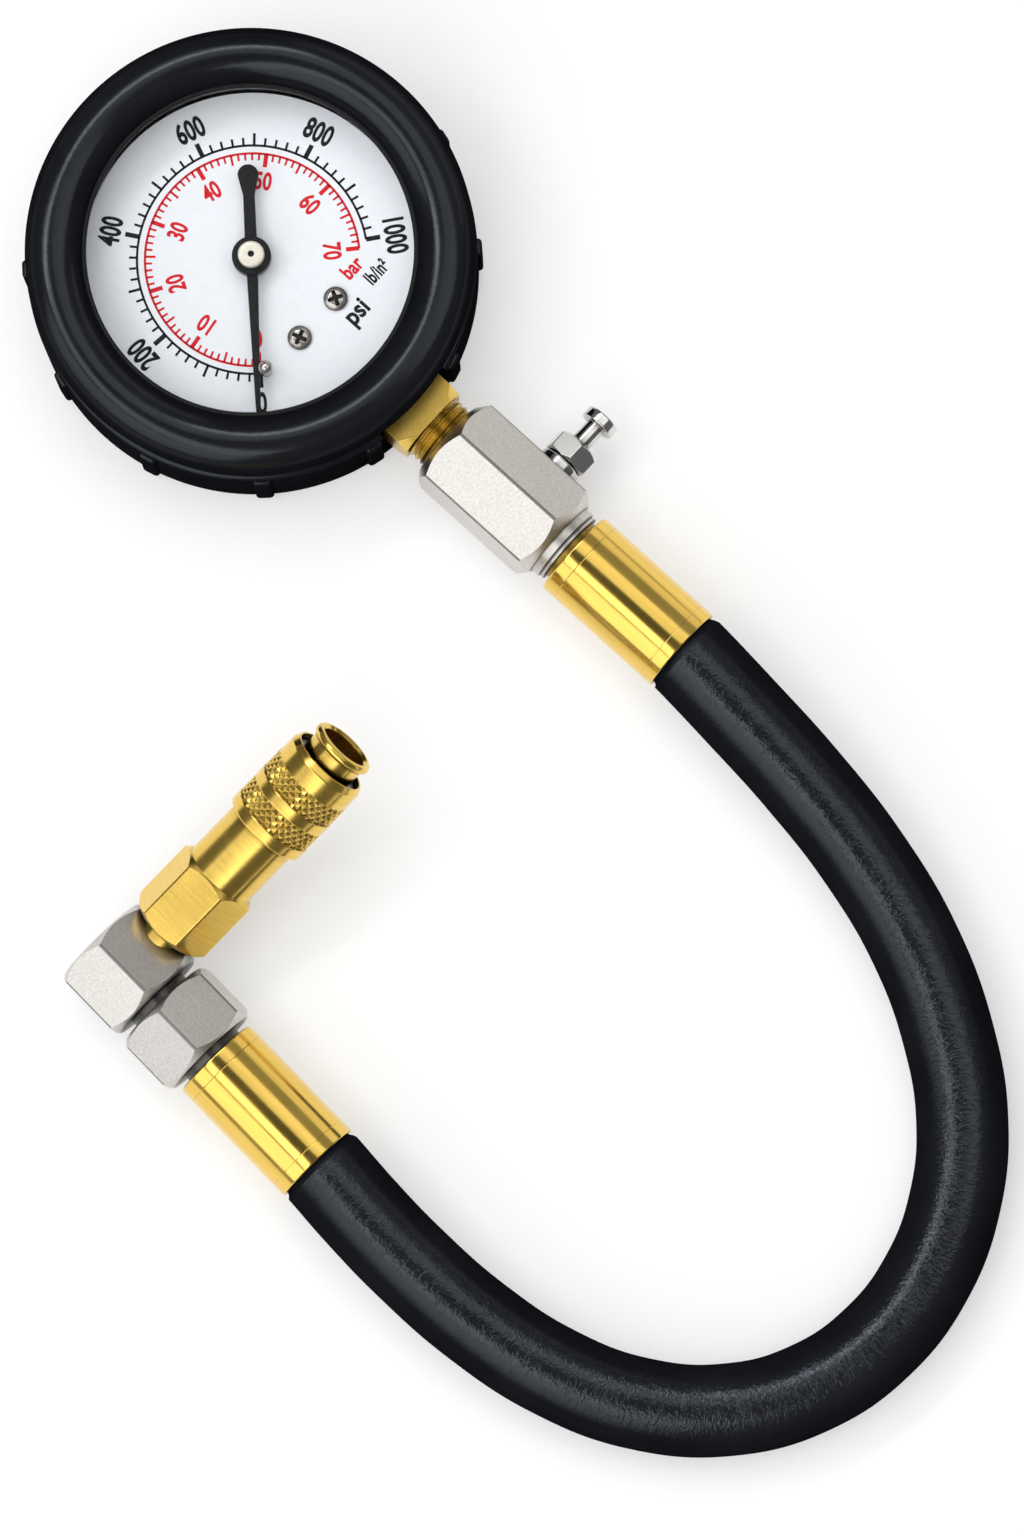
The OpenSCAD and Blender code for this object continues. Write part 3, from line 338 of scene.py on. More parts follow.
def lathe(name, outline, ring=False, steps=96):
    """Turns an outline of (radius, height) in mm about Z; a ring's ends meet, others are capped."""
    settle()
    outline = outline + outline[:1] if ring else outline
    bpy.ops.mesh.primitive_circle_add(vertices=steps, radius=outline[0][0] * MM, fill_type="NOTHING")
    piece = named(name)
    edit_all()
    slide(0, 0, outline[0][1])
    for (r, z), (next_r, next_z) in zip(outline, outline[1:]):
        extrude(0, 0, next_z - z)
        resize(next_r / r, next_r / r, 1)
    if not ring:
        select_all()
        bpy.ops.mesh.fill_holes(sides=0)
    close_mesh()
    smooth(piece)
    return piece


def ring_of(name, corners, steps=96):
    """Turns a closed outline with rounded corners about Z."""
    return lathe(name, rounded(corners), ring=True, steps=steps)


def hex_bar(name, flats, start, end, turn, edge=0.35, share=0.96, cone=40):
    """A hexagonal bar along Z with eased edges and both ends turned to a cone."""
    settle()
    corner = flats / 2 / math.cos(math.radians(30))
    end_r = share * flats / 2
    bpy.ops.mesh.primitive_cylinder_add(
        vertices=6, radius=corner * MM, depth=(end - start) * MM, location=(0, 0, (start + end) / 2 * MM),
        rotation=(0, 0, math.radians(turn - 30)))
    bar = named(name)
    place(bar, bar.matrix_world.copy())
    open_mesh(bar)
    select_where(bar, "EDGE", lambda a, b: abs(a.z - b.z) > 1)
    bpy.ops.mesh.bevel(offset=edge * MM, segments=3, affect="EDGES")
    object_mode()
    outside = corner + 1
    slope = math.tan(math.radians(cone))
    lift = (outside - end_r) * slope
    if start + lift < end - lift:
        waist = [(outside, start + lift), (outside, end - lift)]
    else:
        half = (end - start) / 2
        waist = [(end_r + half / slope, start + half)]
    ends = lathe("cones", [(end_r, start)] + waist + [(end_r, end)], steps=180)
    combine(bar, ends, "INTERSECT")
    smooth(bar, 20)
    # Marks the narrow corner strips, where the metal's colour is darkened into painted dark edge lines
    sides = [face for face in bar.data.polygons if abs(face.normal.z) < 0.1]
    narrow = 0.3 * max(face.area for face in sides)
    strips = bar.data.attributes.new("corner", "FLOAT", "FACE")
    for face in sides:
        strips.data[face.index].value = float(face.area < narrow)
    return bar


def block(name, size, centre, edge, segments=3):
    """A box in mm with every edge rounded."""
    settle()
    bpy.ops.mesh.primitive_cube_add(size=MM)
    piece = named(name)
    edit_all()
    resize(*size)
    bpy.ops.mesh.bevel(offset=edge * MM, segments=segments, affect="EDGES")
    slide(*centre)
    object_mode()
    smooth(piece)
    return piece


def strip(name, start, end, width):
    """A flat strip along X in mm, left open for editing."""
    settle()
    bpy.ops.mesh.primitive_plane_add(size=MM)
    piece = named(name)
    edit_all()
    resize(end - start, width, 1)
    slide((start + end) / 2, 0, 0)
    return piece


def coil(name, radius, wire, turns, start, end):
    """A coil of round wire along Z, its two ends closed."""
    settle()
    bpy.ops.mesh.primitive_circle_add(
        vertices=8, radius=wire * MM, location=(radius * MM, 0, (start + wire) * MM),
        rotation=(math.radians(90), 0, 0))
    piece = named(name)
    place(piece, piece.matrix_world.copy())
    steps = round(24 * turns)
    apply_modifier(piece, "SCREW", angle=2 * math.pi * turns, screw_offset=(end - start - 2 * wire) * MM,
                   steps=steps, render_steps=steps)
    open_mesh(piece, "SELECT")
    bpy.ops.mesh.fill_holes(sides=0)
    close_mesh()
    smooth(piece)
    return piece


def around(piece, angle):
    """A piece's place turned about Z, in degrees."""
    return spun(angle) @ piece.matrix_world


# Materials

# Sockets of the Mix node
VALUE_A, VALUE_B, COLOUR_A, COLOUR_B = 2, 3, 6, 7
MIXED_VALUE, MIXED_COLOUR = 0, 2


def fresh(name):
    """A new material with its tree and its shader."""
    material = bpy.data.materials.new(name)
    material.use_nodes = True
    tree = material.node_tree
    return material, tree, tree.nodes["Principled BSDF"]


def feed(tree, node, **inputs):
    """Sets a node's inputs to values or links them to sockets; an underscore stands for a space."""
    for key, value in inputs.items():
        socket = node.inputs[key.replace("_", " ")]
        if isinstance(value, bpy.types.NodeSocket):
            tree.links.new(value, socket)
        else:
            socket.default_value = value


def add(tree, kind, **inputs):
    """A shader node with these inputs."""
    node = tree.nodes.new("ShaderNode" + kind)
    feed(tree, node, **inputs)
    return node


def where(tree, kind):
    """The coordinates of that kind."""
    return add(tree, "TexCoord").outputs[kind]


def grain(tree, scale, stretch=(1, 1, 1), turn=(0, 0, 0)):
    """Noise on object coordinates, stretched along axes that may be turned; returns its value."""
    angles = [math.radians(v) for v in turn]
    mapping = add(tree, "Mapping", Vector=where(tree, "Object"), Rotation=angles, Scale=stretch)
    if any(turn):
        mapping.vector_type = "TEXTURE"
        feed(tree, mapping, Scale=[1 / v for v in stretch])
    noise = add(tree, "TexNoise", Vector=mapping.outputs["Vector"], Scale=scale, Detail=4.0, Roughness=0.55)
    return noise.outputs["Fac"]


def spread(tree, value, low, high, start=0.3, end=0.7):
    """Maps a value from one range to another."""
    span = add(tree, "MapRange", Value=value, From_Min=start, From_Max=end, To_Min=low, To_Max=high)
    return span.outputs["Result"]


def maths(tree, operation, *values):
    """A value worked out from other value sockets."""
    node = add(tree, "Math")
    node.operation = operation
    for i, value in enumerate(values):
        tree.links.new(value, node.inputs[i])
    return node.outputs["Value"]


def between(tree, value, dark, light):
    """Colours between two by a noise value."""
    mix = add(tree, "Mix")
    mix.data_type = "RGBA"
    mix.inputs[COLOUR_A].default_value = (*dark, 1)
    mix.inputs[COLOUR_B].default_value = (*light, 1)
    feed(tree, mix, Factor=spread(tree, value, 0, 1))
    return mix.outputs[MIXED_COLOUR]


def times(tree, tint, factor):
    """A colour socket multiplied by a value socket."""
    mix = add(tree, "Mix", Factor=1.0)
    mix.data_type = "RGBA"
    mix.blend_type = "MULTIPLY"
    tree.links.new(tint, mix.inputs[COLOUR_A])
    tree.links.new(factor, mix.inputs[COLOUR_B])
    return mix.outputs[MIXED_COLOUR]


def bump(tree, shader, value, strength, distance, edge=0.0):
    """Bumps the surface by a value, with its edges eased by a radius in mm."""
    node = add(tree, "Bump", Height=value, Strength=strength, Distance=distance * MM)
    if edge:
        ease = add(tree, "Bevel", Radius=edge * MM)
        ease.samples = 4
        feed(tree, node, Normal=ease.outputs["Normal"])
    feed(tree, shader, Normal=node.outputs["Normal"])


def painted_seam_shade(tree, reach):
    """Painted shade: less than one where surfaces lie close together, within a reach in mm, so the colour darkens in
    seams and gaps where shade falls.
    """
    near = add(tree, "AmbientOcclusion", Distance=reach * MM)
    near.samples = 6
    return spread(tree, near.outputs["AO"], 0.1, 1.0, 0.4, 0.9)


def corners(tree, share):
    """Painted shade: less than one on the strips along a bar's corners, so the colour there darkens into painted dark
    edge lines.
    """
    mark = add(tree, "Attribute")
    mark.attribute_name = "corner"
    return spread(tree, mark.outputs["Fac"], 1.0, share, 0.0, 1.0)


def darken(material, factor):
    """Multiplies a material's own colour by a value socket."""
    tree = material.node_tree
    base = tree.nodes["Principled BSDF"].inputs["Base Color"]
    tree.links.new(times(tree, base.links[0].from_socket, factor), base)


def scaled(colour, factor):
    """A colour made lighter or darker."""
    return [min(1.0, channel * factor) for channel in colour[:3]]


def metal(name, colour, rough, speck, depth, scale=3500, stretch=(1, 1, 1), turn=(0, 0, 0),
          metallic=1.0, uneven=0.2, line=1.0, reach=1.5):
    """Metal whose shade and gloss vary by a fine grain, with painted shade that darkens it in seams and painted dark
    lines along the corners of bars.
    """
    material, tree, shader = fresh(name)
    fine = grain(tree, scale, stretch, turn)
    tint = between(tree, fine, scaled(colour, 1 - speck), scaled(colour, 1 + speck / 2))
    # Painted shade: the colour darkens where surfaces lie close, in seams and gaps
    tint = times(tree, tint, painted_seam_shade(tree, reach))
    # Painted shade: dark lines along the corner strips of bars
    if line < 1.0:
        tint = times(tree, tint, corners(tree, line))
    broad = spread(tree, grain(tree, 90), rough * (1 - uneven), rough * (1 + uneven))
    feed(tree, shader, Base_Color=tint, Roughness=broad, Metallic=metallic)
    bump(tree, shader, fine, depth, 0.05, 0.12)
    return material


def screw_metal(name, colour):
    """Steel with painted shade: darker below the tops of the dial screws' heads, in the recess and at the rim."""
    material = metal(name, colour, rough=0.24, speck=0.08, depth=0.04, metallic=0.85)
    tree = material.node_tree
    split = add(tree, "SeparateXYZ", Vector=where(tree, "Object"))
    # Painted shade: the colour darkens below the tops of the screw heads
    darken(material, spread(tree, split.outputs["Z"], 0.12, 1.0, 17.6 * MM, 18.0 * MM))
    return material


def cap_metal(name, colour):
    """Pale metal with painted shade: darker in the small hole at the dial's axis."""
    material = metal(name, colour, rough=0.3, speck=0.06, depth=0.05, metallic=0.3)
    tree = material.node_tree
    flat = add(tree, "VectorMath")
    flat.operation = "MULTIPLY"
    flat.inputs[1].default_value = (1, 1, 0)
    reach = add(tree, "VectorMath")
    reach.operation = "LENGTH"
    tree.links.new(where(tree, "Object"), flat.inputs[0])
    tree.links.new(flat.outputs["Vector"], reach.inputs[0])
    # Painted shade: the colour darkens inside the hole at the axis
    darken(material, spread(tree, reach.outputs["Value"], 0.04, 1.0, 0.5 * MM, 0.62 * MM))
    return material


def rubber(name, colour, rough, scale, depth, gloss=0.45, dull=0.45):
    """Satin rubber with a fine moulded skin, dull where it turns away."""
    material, tree, shader = fresh(name)
    skin = grain(tree, scale)
    slope = add(tree, "LayerWeight", Blend=0.5)
    sheen = spread(tree, slope.outputs["Facing"], gloss, 0.0, 0.0, dull)
    sheen.node.interpolation_type = "SMOOTHSTEP"
    feed(tree, shader, Base_Color=between(tree, grain(tree, 60), scaled(colour, 0.8), scaled(colour, 1.25)),
         Roughness=spread(tree, skin, rough * 0.85, rough * 1.15), Specular_IOR_Level=sheen,
         Specular_Tint=(0.82, 0.9, 1.0, 1))
    bump(tree, shader, skin, depth, 0.2)
    return material


def hose_skin(name, colour):
    """Hose rubber with short wavy creases across the hose, on its own UV map."""
    material = rubber(name, colour, rough=0.16, scale=1500, depth=0.08, gloss=0.5, dull=0.28)
    tree = material.node_tree
    along = add(tree, "Mapping", Vector=where(tree, "UV"), Scale=(300, 24, 1))
    crease = add(tree, "TexNoise", Vector=along.outputs["Vector"], Scale=1.0, Detail=2.0, Distortion=2.0)
    bump(tree, tree.nodes["Principled BSDF"], crease.outputs["Fac"], 0.7, 0.2)
    return material


def coat(name, colour, rough, speck, gloss=0.5):
    """Paint or ink with a slightly uneven shade."""
    material, tree, shader = fresh(name)
    fine = grain(tree, 900)
    feed(tree, shader, Base_Color=between(tree, fine, scaled(colour, 1 - speck), scaled(colour, 1 + speck)),
         Roughness=spread(tree, fine, rough * 0.9, rough * 1.1), Specular_IOR_Level=gloss)
    return material


def clear_glass(name):
    """Flat clear glass: see-through with a faint gloss at its face."""
    material, tree, shader = fresh(name)
    tree.nodes.remove(shader)
    tint = between(tree, grain(tree, 40), (0.985, 0.99, 0.995), (0.995, 0.997, 1.0))
    through = add(tree, "BsdfTransparent", Color=tint)
    gloss = add(tree, "BsdfGlossy", Roughness=0.03)
    slope = add(tree, "LayerWeight", Blend=0.5)
    mix = add(tree, "MixShader", Fac=spread(tree, slope.outputs["Facing"], 0.004, 0.35, 0.3, 1.0))
    tree.links.new(through.outputs["BSDF"], mix.inputs[1])
    tree.links.new(gloss.outputs["BSDF"], mix.inputs[2])
    feed(tree, tree.nodes["Material Output"], Surface=mix.outputs["Shader"])
    return material


# Finishes: how each is made, its colour setting and its own values
FINISHES = {
    "boot_rubber": (rubber, "boot_rubber", dict(rough=0.17, scale=1500, depth=0.08, gloss=0.38, dull=0.45)),
    "seal_rubber": (rubber, "boot_rubber", dict(rough=0.6, scale=900, depth=0.1)),
    "hose_skin": (hose_skin, "hose_rubber", {}),
    # line and reach set the painted shade of metals: dark lines on corner strips and darker seams
    "satin_nickel": (metal, "nickel", dict(
        rough=0.34, speck=0.18, depth=0.12, scale=2600, uneven=0.05, line=0.4, reach=4)),
    "bright_chrome": (metal, "chrome", dict(rough=0.09, speck=0.05, depth=0.02, line=0.5, reach=2.5)),
    "tooled_steel": (metal, "steel", dict(rough=0.3, speck=0.1, depth=0.05)),
    "gold_brass": (metal, "gold_brass", dict(rough=0.16, speck=0.1, depth=0.04, scale=700, stretch=(1, 0.06, 1))),
    "satin_brass": (metal, "satin_brass", dict(rough=0.3, speck=0.12, depth=0.08)),
    "turned_brass": (metal, "satin_brass", dict(
        rough=0.22, speck=0.1, depth=0.1, scale=2500, stretch=(0.04, 0.04, 1),
        turn=(0, COUPLER_LEAN, FAR_END_TURN), reach=2.5)),
    "screw_steel": (screw_metal, "screw", {}),
    "cap_metal": (cap_metal, "cap", {}),
    "dial_white": (coat, "dial", dict(rough=0.5, speck=0.02)),
    "black_ink": (coat, "black_ink", dict(rough=0.5, speck=0.2, gloss=0.1)),
    "red_ink": (coat, "red_ink", dict(rough=0.5, speck=0.06, gloss=0.1)),
    "black_gloss": (coat, "black_paint", dict(rough=0.35, speck=0.05, gloss=0.15)),
    "clear_lens": (clear_glass, None, {}),
}


def finish_of(name):
    """The material of that name, made when it is first asked for."""
    found = bpy.data.materials.get(name)
    if found:
        return found
    maker, setting, values = FINISHES[name]
    colours = [getattr(bpy.context.scene.gauge_colours, setting)] if setting else []
    return maker(name, *colours, **values)


# Settings


def length(name, description, default):
    """A length setting in metres, its default in mm."""
    return FloatProperty(
        name=name, description=description, default=default * MM, min=0.0, unit="LENGTH", precision=5)


def colour(name, description, default):
    """A colour setting."""
    return FloatVectorProperty(
        name=name, description=description, default=default, size=3, min=0.0, max=1.0, subtype="COLOR")


def count(name, description, default, least):
    """A setting that counts."""
    return IntProperty(name=name, description=description, default=default, min=least)


class GaugeSizes(bpy.types.PropertyGroup):
    """Sizes that a user would change"""

    boot_radius: length("Boot Radius", "Outer radius of the boot's rear shell", 40.75)
    ring_radius: length("Ring Radius", "Radius of the round section of the boot's front ring", 5.3)
    window_radius: length("Window Radius", "Radius of the opening in the front ring", 29.9)
    rib_width: length("Rib Width", "Width of the grip ribs around the boot", 3.4)
    pointer_length: length("Pointer Length", "From the pointer's axis to its tip", 28.4)
    pointer_tail: length("Pointer Tail", "From the pointer's axis to the end of its tail", 16.8)
    numeral_height: length("Numeral Height", "Height of the outer numerals", 3.7)
    small_numeral_height: length("Small Numeral Height", "Height of the inner numerals", 3.1)
    adaptor_flats: length("Adaptor Flats", "Across the flats of the hexagonal adaptor", 18.0)
    elbow_flats: length("Elbow Flats", "Across the flats of the elbow and the hose fitting", 19.0)
    coupler_flats: length("Coupler Flats", "Across the flats of the coupler's hexagon", 14.4)
    ferrule_radius: length("Ferrule Radius", "Outer radius of the hose ferrules", 8.4)
    hose_radius: length("Hose Radius", "Outer radius of the hose", 8.3)
    sleeve_radius: length("Sleeve Radius", "Outer radius of the coupler's sliding sleeve", 8.0)
    rib_count: count("Rib Count", "Number of grip ribs around the boot", 12, 3)
    knurl_columns: count("Knurl Columns", "Points of the knurl around the sleeve, an even number", 60, 12)


class GaugeColours(bpy.types.PropertyGroup):
    """Colours that a user would change"""

    boot_rubber: colour("Boot Rubber", "Black rubber of the boot", (0.0075, 0.008, 0.01))
    hose_rubber: colour("Hose Rubber", "Black rubber of the hose", (0.0085, 0.0092, 0.0115))
    nickel: colour("Nickel", "Satin plating of the adaptor, elbow and fitting", (0.66, 0.635, 0.6))
    chrome: colour("Chrome", "Bright plating of the release valve", (0.72, 0.71, 0.7))
    steel: colour("Steel", "Springs, screws and arbors", (0.45, 0.45, 0.46))
    screw: colour("Screw Steel", "Dial screws and stop pin", (0.62, 0.58, 0.53))
    gold_brass: colour("Gold Brass", "Polished brass of the ferrules", (0.85, 0.575, 0.125))
    satin_brass: colour("Satin Brass", "Brass of the stem and the coupler", (0.84, 0.57, 0.125))
    cap: colour("Cap", "Pale metal of the pointer's cap", (0.86, 0.8, 0.68))
    dial: colour("Dial", "White face of the dial", (0.9, 0.92, 0.95))
    black_ink: colour("Black Ink", "Outer scale of the dial", (0.012, 0.012, 0.014))
    red_ink: colour("Red Ink", "Inner scale of the dial", (0.72, 0.016, 0.024))
    black_paint: colour("Black Paint", "Pointer and bezel", (0.01, 0.01, 0.011))


class GaugeOperator:
    """What the gauge's operators share."""

    bl_options = {"REGISTER", "UNDO"}

    @classmethod
    def poll(cls, context):
        return context.scene is not None


class GAUGE_OT_stage(GaugeOperator, bpy.types.Operator):
    """Add the camera, the floor, the lamps and the world"""

    bl_idname = "gauge.stage"
    bl_label = "Stage"

    def lamp(self, name, place_at, size, radiance, tint):
        """A soft rectangular lamp of a given brightness."""
        settle()
        bpy.ops.object.light_add(type="AREA", location=place_at)
        lamp = named(name)
        lamp.data.shape = "RECTANGLE"
        lamp.data.size, lamp.data.size_y = size
        lamp.data.energy = radiance * math.pi * size[0] * size[1]
        lamp.data.color = tint
        lamp.visible_camera = False
        lamp.visible_glossy = name != UNMIRRORED_LAMP
        lamp.rotation_euler = (Vector(LAMP_AIM) - Vector(place_at)).to_track_quat("-Z", "Y").to_euler()

    def camera(self, scene):
        """The camera that the photograph was taken from."""
        settle()
        bpy.ops.object.camera_add(location=CAMERA_PLACE)
        scene.camera = named("camera")
        scene.camera.rotation_euler = Matrix(CAMERA_AXES).transposed().to_euler()
        scene.camera.data.lens = CAMERA_LENS
        scene.camera.data.sensor_width = CAMERA_SENSOR

    def floor(self):
        """A white floor that glows only for rays that show it."""
        settle()
        bpy.ops.mesh.primitive_plane_add(size=FLOOR_SIZE, location=(0, 0, -FLOOR_DROP))
        floor = named("floor")
        material, tree, shader = fresh("floor_white")
        tree.nodes.remove(shader)
        tint = between(tree, grain(tree, 3), (0.6, 0.6, 0.6), (0.61, 0.61, 0.61))
        diffuse = add(tree, "BsdfDiffuse", Color=tint)
        path = add(tree, "LightPath")
        seen = path.outputs["Is Camera Ray"]
        for ray in ("Is Glossy Ray", "Is Transmission Ray"):
            seen = maths(tree, "MAXIMUM", seen, path.outputs[ray])
        glow = add(tree, "Emission", Strength=spread(tree, seen, 0, FLOOR_GLOW, 0, 1))
        both = add(tree, "AddShader")
        tree.links.new(diffuse.outputs["BSDF"], both.inputs[0])
        tree.links.new(glow.outputs["Emission"], both.inputs[1])
        feed(tree, tree.nodes["Material Output"], Surface=both.outputs["Shader"])
        floor.data.materials.append(material)

    def world(self, scene):
        """A grey room, darker at its two ends and straight above, that the camera sees as white."""
        scene.world = bpy.data.worlds.new("studio")
        scene.world.use_nodes = True
        tree = scene.world.node_tree
        split = add(tree, "SeparateXYZ", Vector=where(tree, "Generated"))
        fall = spread(tree, maths(tree, "ABSOLUTE", split.outputs["Y"]), 0.3, 0.14, 0.25, 0.6)
        crown = spread(tree, split.outputs["Z"], 1.0, 0.3, 0.9, 0.96)
        level = add(tree, "Mix", Factor=add(tree, "LightPath").outputs["Is Camera Ray"])
        tree.links.new(maths(tree, "MULTIPLY", fall, crown), level.inputs[VALUE_A])
        level.inputs[VALUE_B].default_value = 1.0
        feed(tree, tree.nodes["Background"], Strength=level.outputs[MIXED_VALUE], Color=(1, 1, 1, 1))

    def execute(self, context):
        context.scene.view_settings.view_transform = "Standard"
        self.camera(context.scene)
        self.floor()
        for lamp in LAMPS:
            self.lamp(*lamp)
        self.world(context.scene)
        return {"FINISHED"}


class GAUGE_OT_hose(GaugeOperator, bpy.types.Operator):
    """Model the rubber hose along its lying curve"""

    bl_idname = "gauge.hose"
    bl_label = "Hose"

    def execute(self, context):
        sizes = context.scene.gauge_sizes
        settle()
        bpy.ops.curve.primitive_bezier_curve_add()
        hose = named("hose_line")
        hose.data.splines.clear()
        spline = hose.data.splines.new("BEZIER")
        spline.bezier_points.add(len(HOSE_ROUTE) - 1)
        for point, (x, y, z, share) in zip(spline.bezier_points, HOSE_ROUTE):
            point.co = Vector((x, y, z)) * MM
            point.handle_left_type = point.handle_right_type = "AUTO"
            point.radius = share
        spline.resolution_u = 10
        hose.data.dimensions = "3D"
        hose.data.twist_mode = "MINIMUM"
        hose.data.bevel_depth = sizes.hose_radius
        hose.data.bevel_resolution = 10
        hose.data.use_fill_caps = True
        pick(hose)
        bpy.ops.object.convert(target="MESH")
        hose = named("rubber_hose")
        open_mesh(hose)
        close_mesh()
        smooth(hose, 50)
        dress(hose, "hose_skin", "gauge", "hose_rubber", "hose")
        return {"FINISHED"}


class GAUGE_OT_boot(GaugeOperator, bpy.types.Operator):
    """Model the rubber boot with its fat front ring and grip ribs"""

    bl_idname = "gauge.boot"
    bl_label = "Boot"

    def execute(self, context):
        sizes = context.scene.gauge_sizes
        outer = sizes.boot_radius / MM
        section = sizes.ring_radius / MM
        middle = sizes.window_radius / MM + section
        crown, rest = 26.7, 28.25
        groove, shell_top = 37.2, 20
        opening, wall = 26, 2.5
        seat, case, seat_floor = 33.45, 32.05, 21.95
        meet = -math.degrees(math.acos((groove - middle) / section))
        shell = rounded([(opening, 0, 0.5), (outer, 0, 2.0), (outer, shell_top, 1.2), (groove, shell_top, 0.6),
                         (groove, shell_top + 1)])
        inner_end = 180 - math.degrees(math.asin((rest - crown) / section))
        ring = arc(middle, crown, section, meet, inner_end, 28)
        inside = [(seat, rest), (seat, seat_floor), (case, seat_floor), (case, wall), (opening, wall)]
        boot = lathe("rubber_boot_skin", shell + ring + inside, ring=True, steps=180)
        door = block("door", size=(17, 14, 17.5), centre=(0, -37, 12.25), edge=1.6)
        combine(boot, door, "DIFFERENCE")
        rib = block("rib", size=(2.4, sizes.rib_width / MM, 17.0), centre=(outer - 0.4, 0, 10.4), edge=0.75)
        step = 360 / sizes.rib_count
        ribs = [copy(rib, around(rib, -90 + step * (k + 0.5))) for k in range(sizes.rib_count)]
        bpy.data.objects.remove(rib)
        smooth(boot, 40)
        boot = join("rubber_boot_skin", boot, *ribs)
        dress(boot, "boot_rubber", "gauge", "rubber", "rubber_boot")
        return {"FINISHED"}


class GAUGE_OT_bezel(GaugeOperator, bpy.types.Operator):
    """Model the black bezel and clear the lens"""

    bl_idname = "gauge.bezel"
    bl_label = "Bezel and Lens"

    def execute(self, context):
        bezel = ring_of("bezel", BEZEL, 160)
        dress(bezel, "black_gloss", "gauge", "black_paint", "bezel_ring")
        paint_nodes("clear_lens", "lens")
        paint_nodes("seal_rubber", "lens_gasket")
        return {"FINISHED"}


class GAUGE_OT_dial(GaugeOperator, bpy.types.Operator):
    """Paint the dial and add its two printed scales"""

    bl_idname = "gauge.dial"
    bl_label = "Dial"

    # Degrees of the zero and of the outer and inner scales, then mm of the dial's face and its print
    zero = 226.4
    sweep = 264.0
    small_sweep = 268.0
    face = 17.0
    film = 0.04
    # Shares of a letter's height: capitals in the font's size, and how far strokes are thickened
    capitals = 0.7
    weight = 0.03
    stroke_edge = 0.015

    def spot(self, radius, share, sweep):
        """Place and upright turn of a share of a scale."""
        at = math.radians(self.zero - sweep * share)
        return (radius * math.cos(at), radius * math.sin(at)), math.degrees(at) - 90

    def raise_film(self, piece):
        """Gives flat print its thickness and lays it on the dial."""
        open_mesh(piece, "SELECT")
        extrude(0, 0, self.film)
        close_mesh()
        place(piece, moved(0, 0, self.face) @ piece.matrix_world)

    def line(self, radius, width, sweep):
        """A printed arc along the scale."""
        settle()
        bpy.ops.mesh.primitive_plane_add(size=width * MM)
        piece = bpy.context.object
        edit_all()
        slide(radius, width / 2, 0)
        select_where(piece, "VERT", lambda co: co.y > width / 2)
        bpy.ops.mesh.delete(type="VERT")
        select_all()
        bpy.ops.mesh.spin(steps=132, angle=math.radians(sweep), center=(0, 0, 0), axis=(0, 0, 1))
        object_mode()
        place(piece, spun(self.zero))
        self.raise_film(piece)
        return piece

    def tick(self, start, end, width):
        """One printed tick along +X."""
        piece = strip("tick", start, end, width)
        object_mode()
        self.raise_film(piece)
        return piece

    def word(self, body, height, squeeze, centre, turn=0):
        """Printed text in a narrow upright face."""
        settle()
        bpy.ops.object.text_add()
        text = bpy.context.object.data
        text.body = body
        text.size = height / self.capitals * MM
        text.align_x = text.align_y = "CENTER"
        text.offset = self.weight * height * MM
        text.extrude = self.film / 2 * MM
        text.bevel_depth = self.stroke_edge * height * MM
        text.bevel_resolution = 0
        text.space_character = 1.04
        bpy.ops.object.convert(target="MESH")
        piece = bpy.context.object
        place(piece, moved(*centre, self.face + self.film / 2) @ spun(turn) @ Matrix.Diagonal((squeeze, 1, 1, 1)))
        return piece

    def scale(self, line_radius, outward, count, sweep, lengths, widths):
        """An arc with its ticks; every tenth is long and every fifth is middling. The arc's width comes first."""
        pieces = [self.line(line_radius, widths[0], sweep)]
        for every, reach, width in zip((1, 5, 10), lengths, widths[1:]):
            ends = (line_radius, line_radius + reach) if outward else (line_radius - reach, line_radius)
            tick = self.tick(*ends, width)
            for k in range(count + 1):
                coarse = 10 if k % 10 == 0 else 5 if k % 5 == 0 else 1
                if coarse == every:
                    pieces.append(copy(tick, spun(self.zero - sweep * k / count)))
            bpy.data.objects.remove(tick)
        return pieces

    def numerals(self, step, count, height, squeeze, radius, sweep):
        """The numerals of a scale, from nought to its end."""
        return [self.word(str(step * k), height, squeeze, *self.spot(radius, k / count, sweep))
                for k in range(count + 1)]

    def execute(self, context):
        sizes = context.scene.gauge_sizes
        tall, small = sizes.numeral_height / MM, sizes.small_numeral_height / MM
        black = self.scale(line_radius=20.85, outward=True, count=50, sweep=self.sweep,
                           lengths=(1.45, 2.25, 2.6), widths=(0.42, 0.42, 0.48, 0.85))
        black += self.numerals(step=200, count=5, height=tall, squeeze=0.65, radius=26.0, sweep=self.sweep)
        black.append(self.word("psi", height=3.3, squeeze=0.85, centre=(5.6, -20.4)))
        black.append(self.word("lb/in²", height=2.5, squeeze=0.62, centre=(13.4, -18.2)))
        red = self.scale(line_radius=19.4, outward=False, count=70, sweep=self.small_sweep,
                         lengths=(1.25, 1.9, 2.4), widths=(0.42, 0.38, 0.42, 0.78))
        red += self.numerals(step=10, count=7, height=small, squeeze=0.7, radius=14.3, sweep=self.small_sweep)
        red.append(self.word("bar", height=2.7, squeeze=0.75, centre=(10.9, -14.4)))
        dress(join("black_scale", *black), "black_ink", "gauge", "dial_paint")
        dress(join("red_scale", *red), "red_ink", "gauge", "dial_paint")
        paint_nodes("dial_white", "dial_plate")
        return {"FINISHED"}


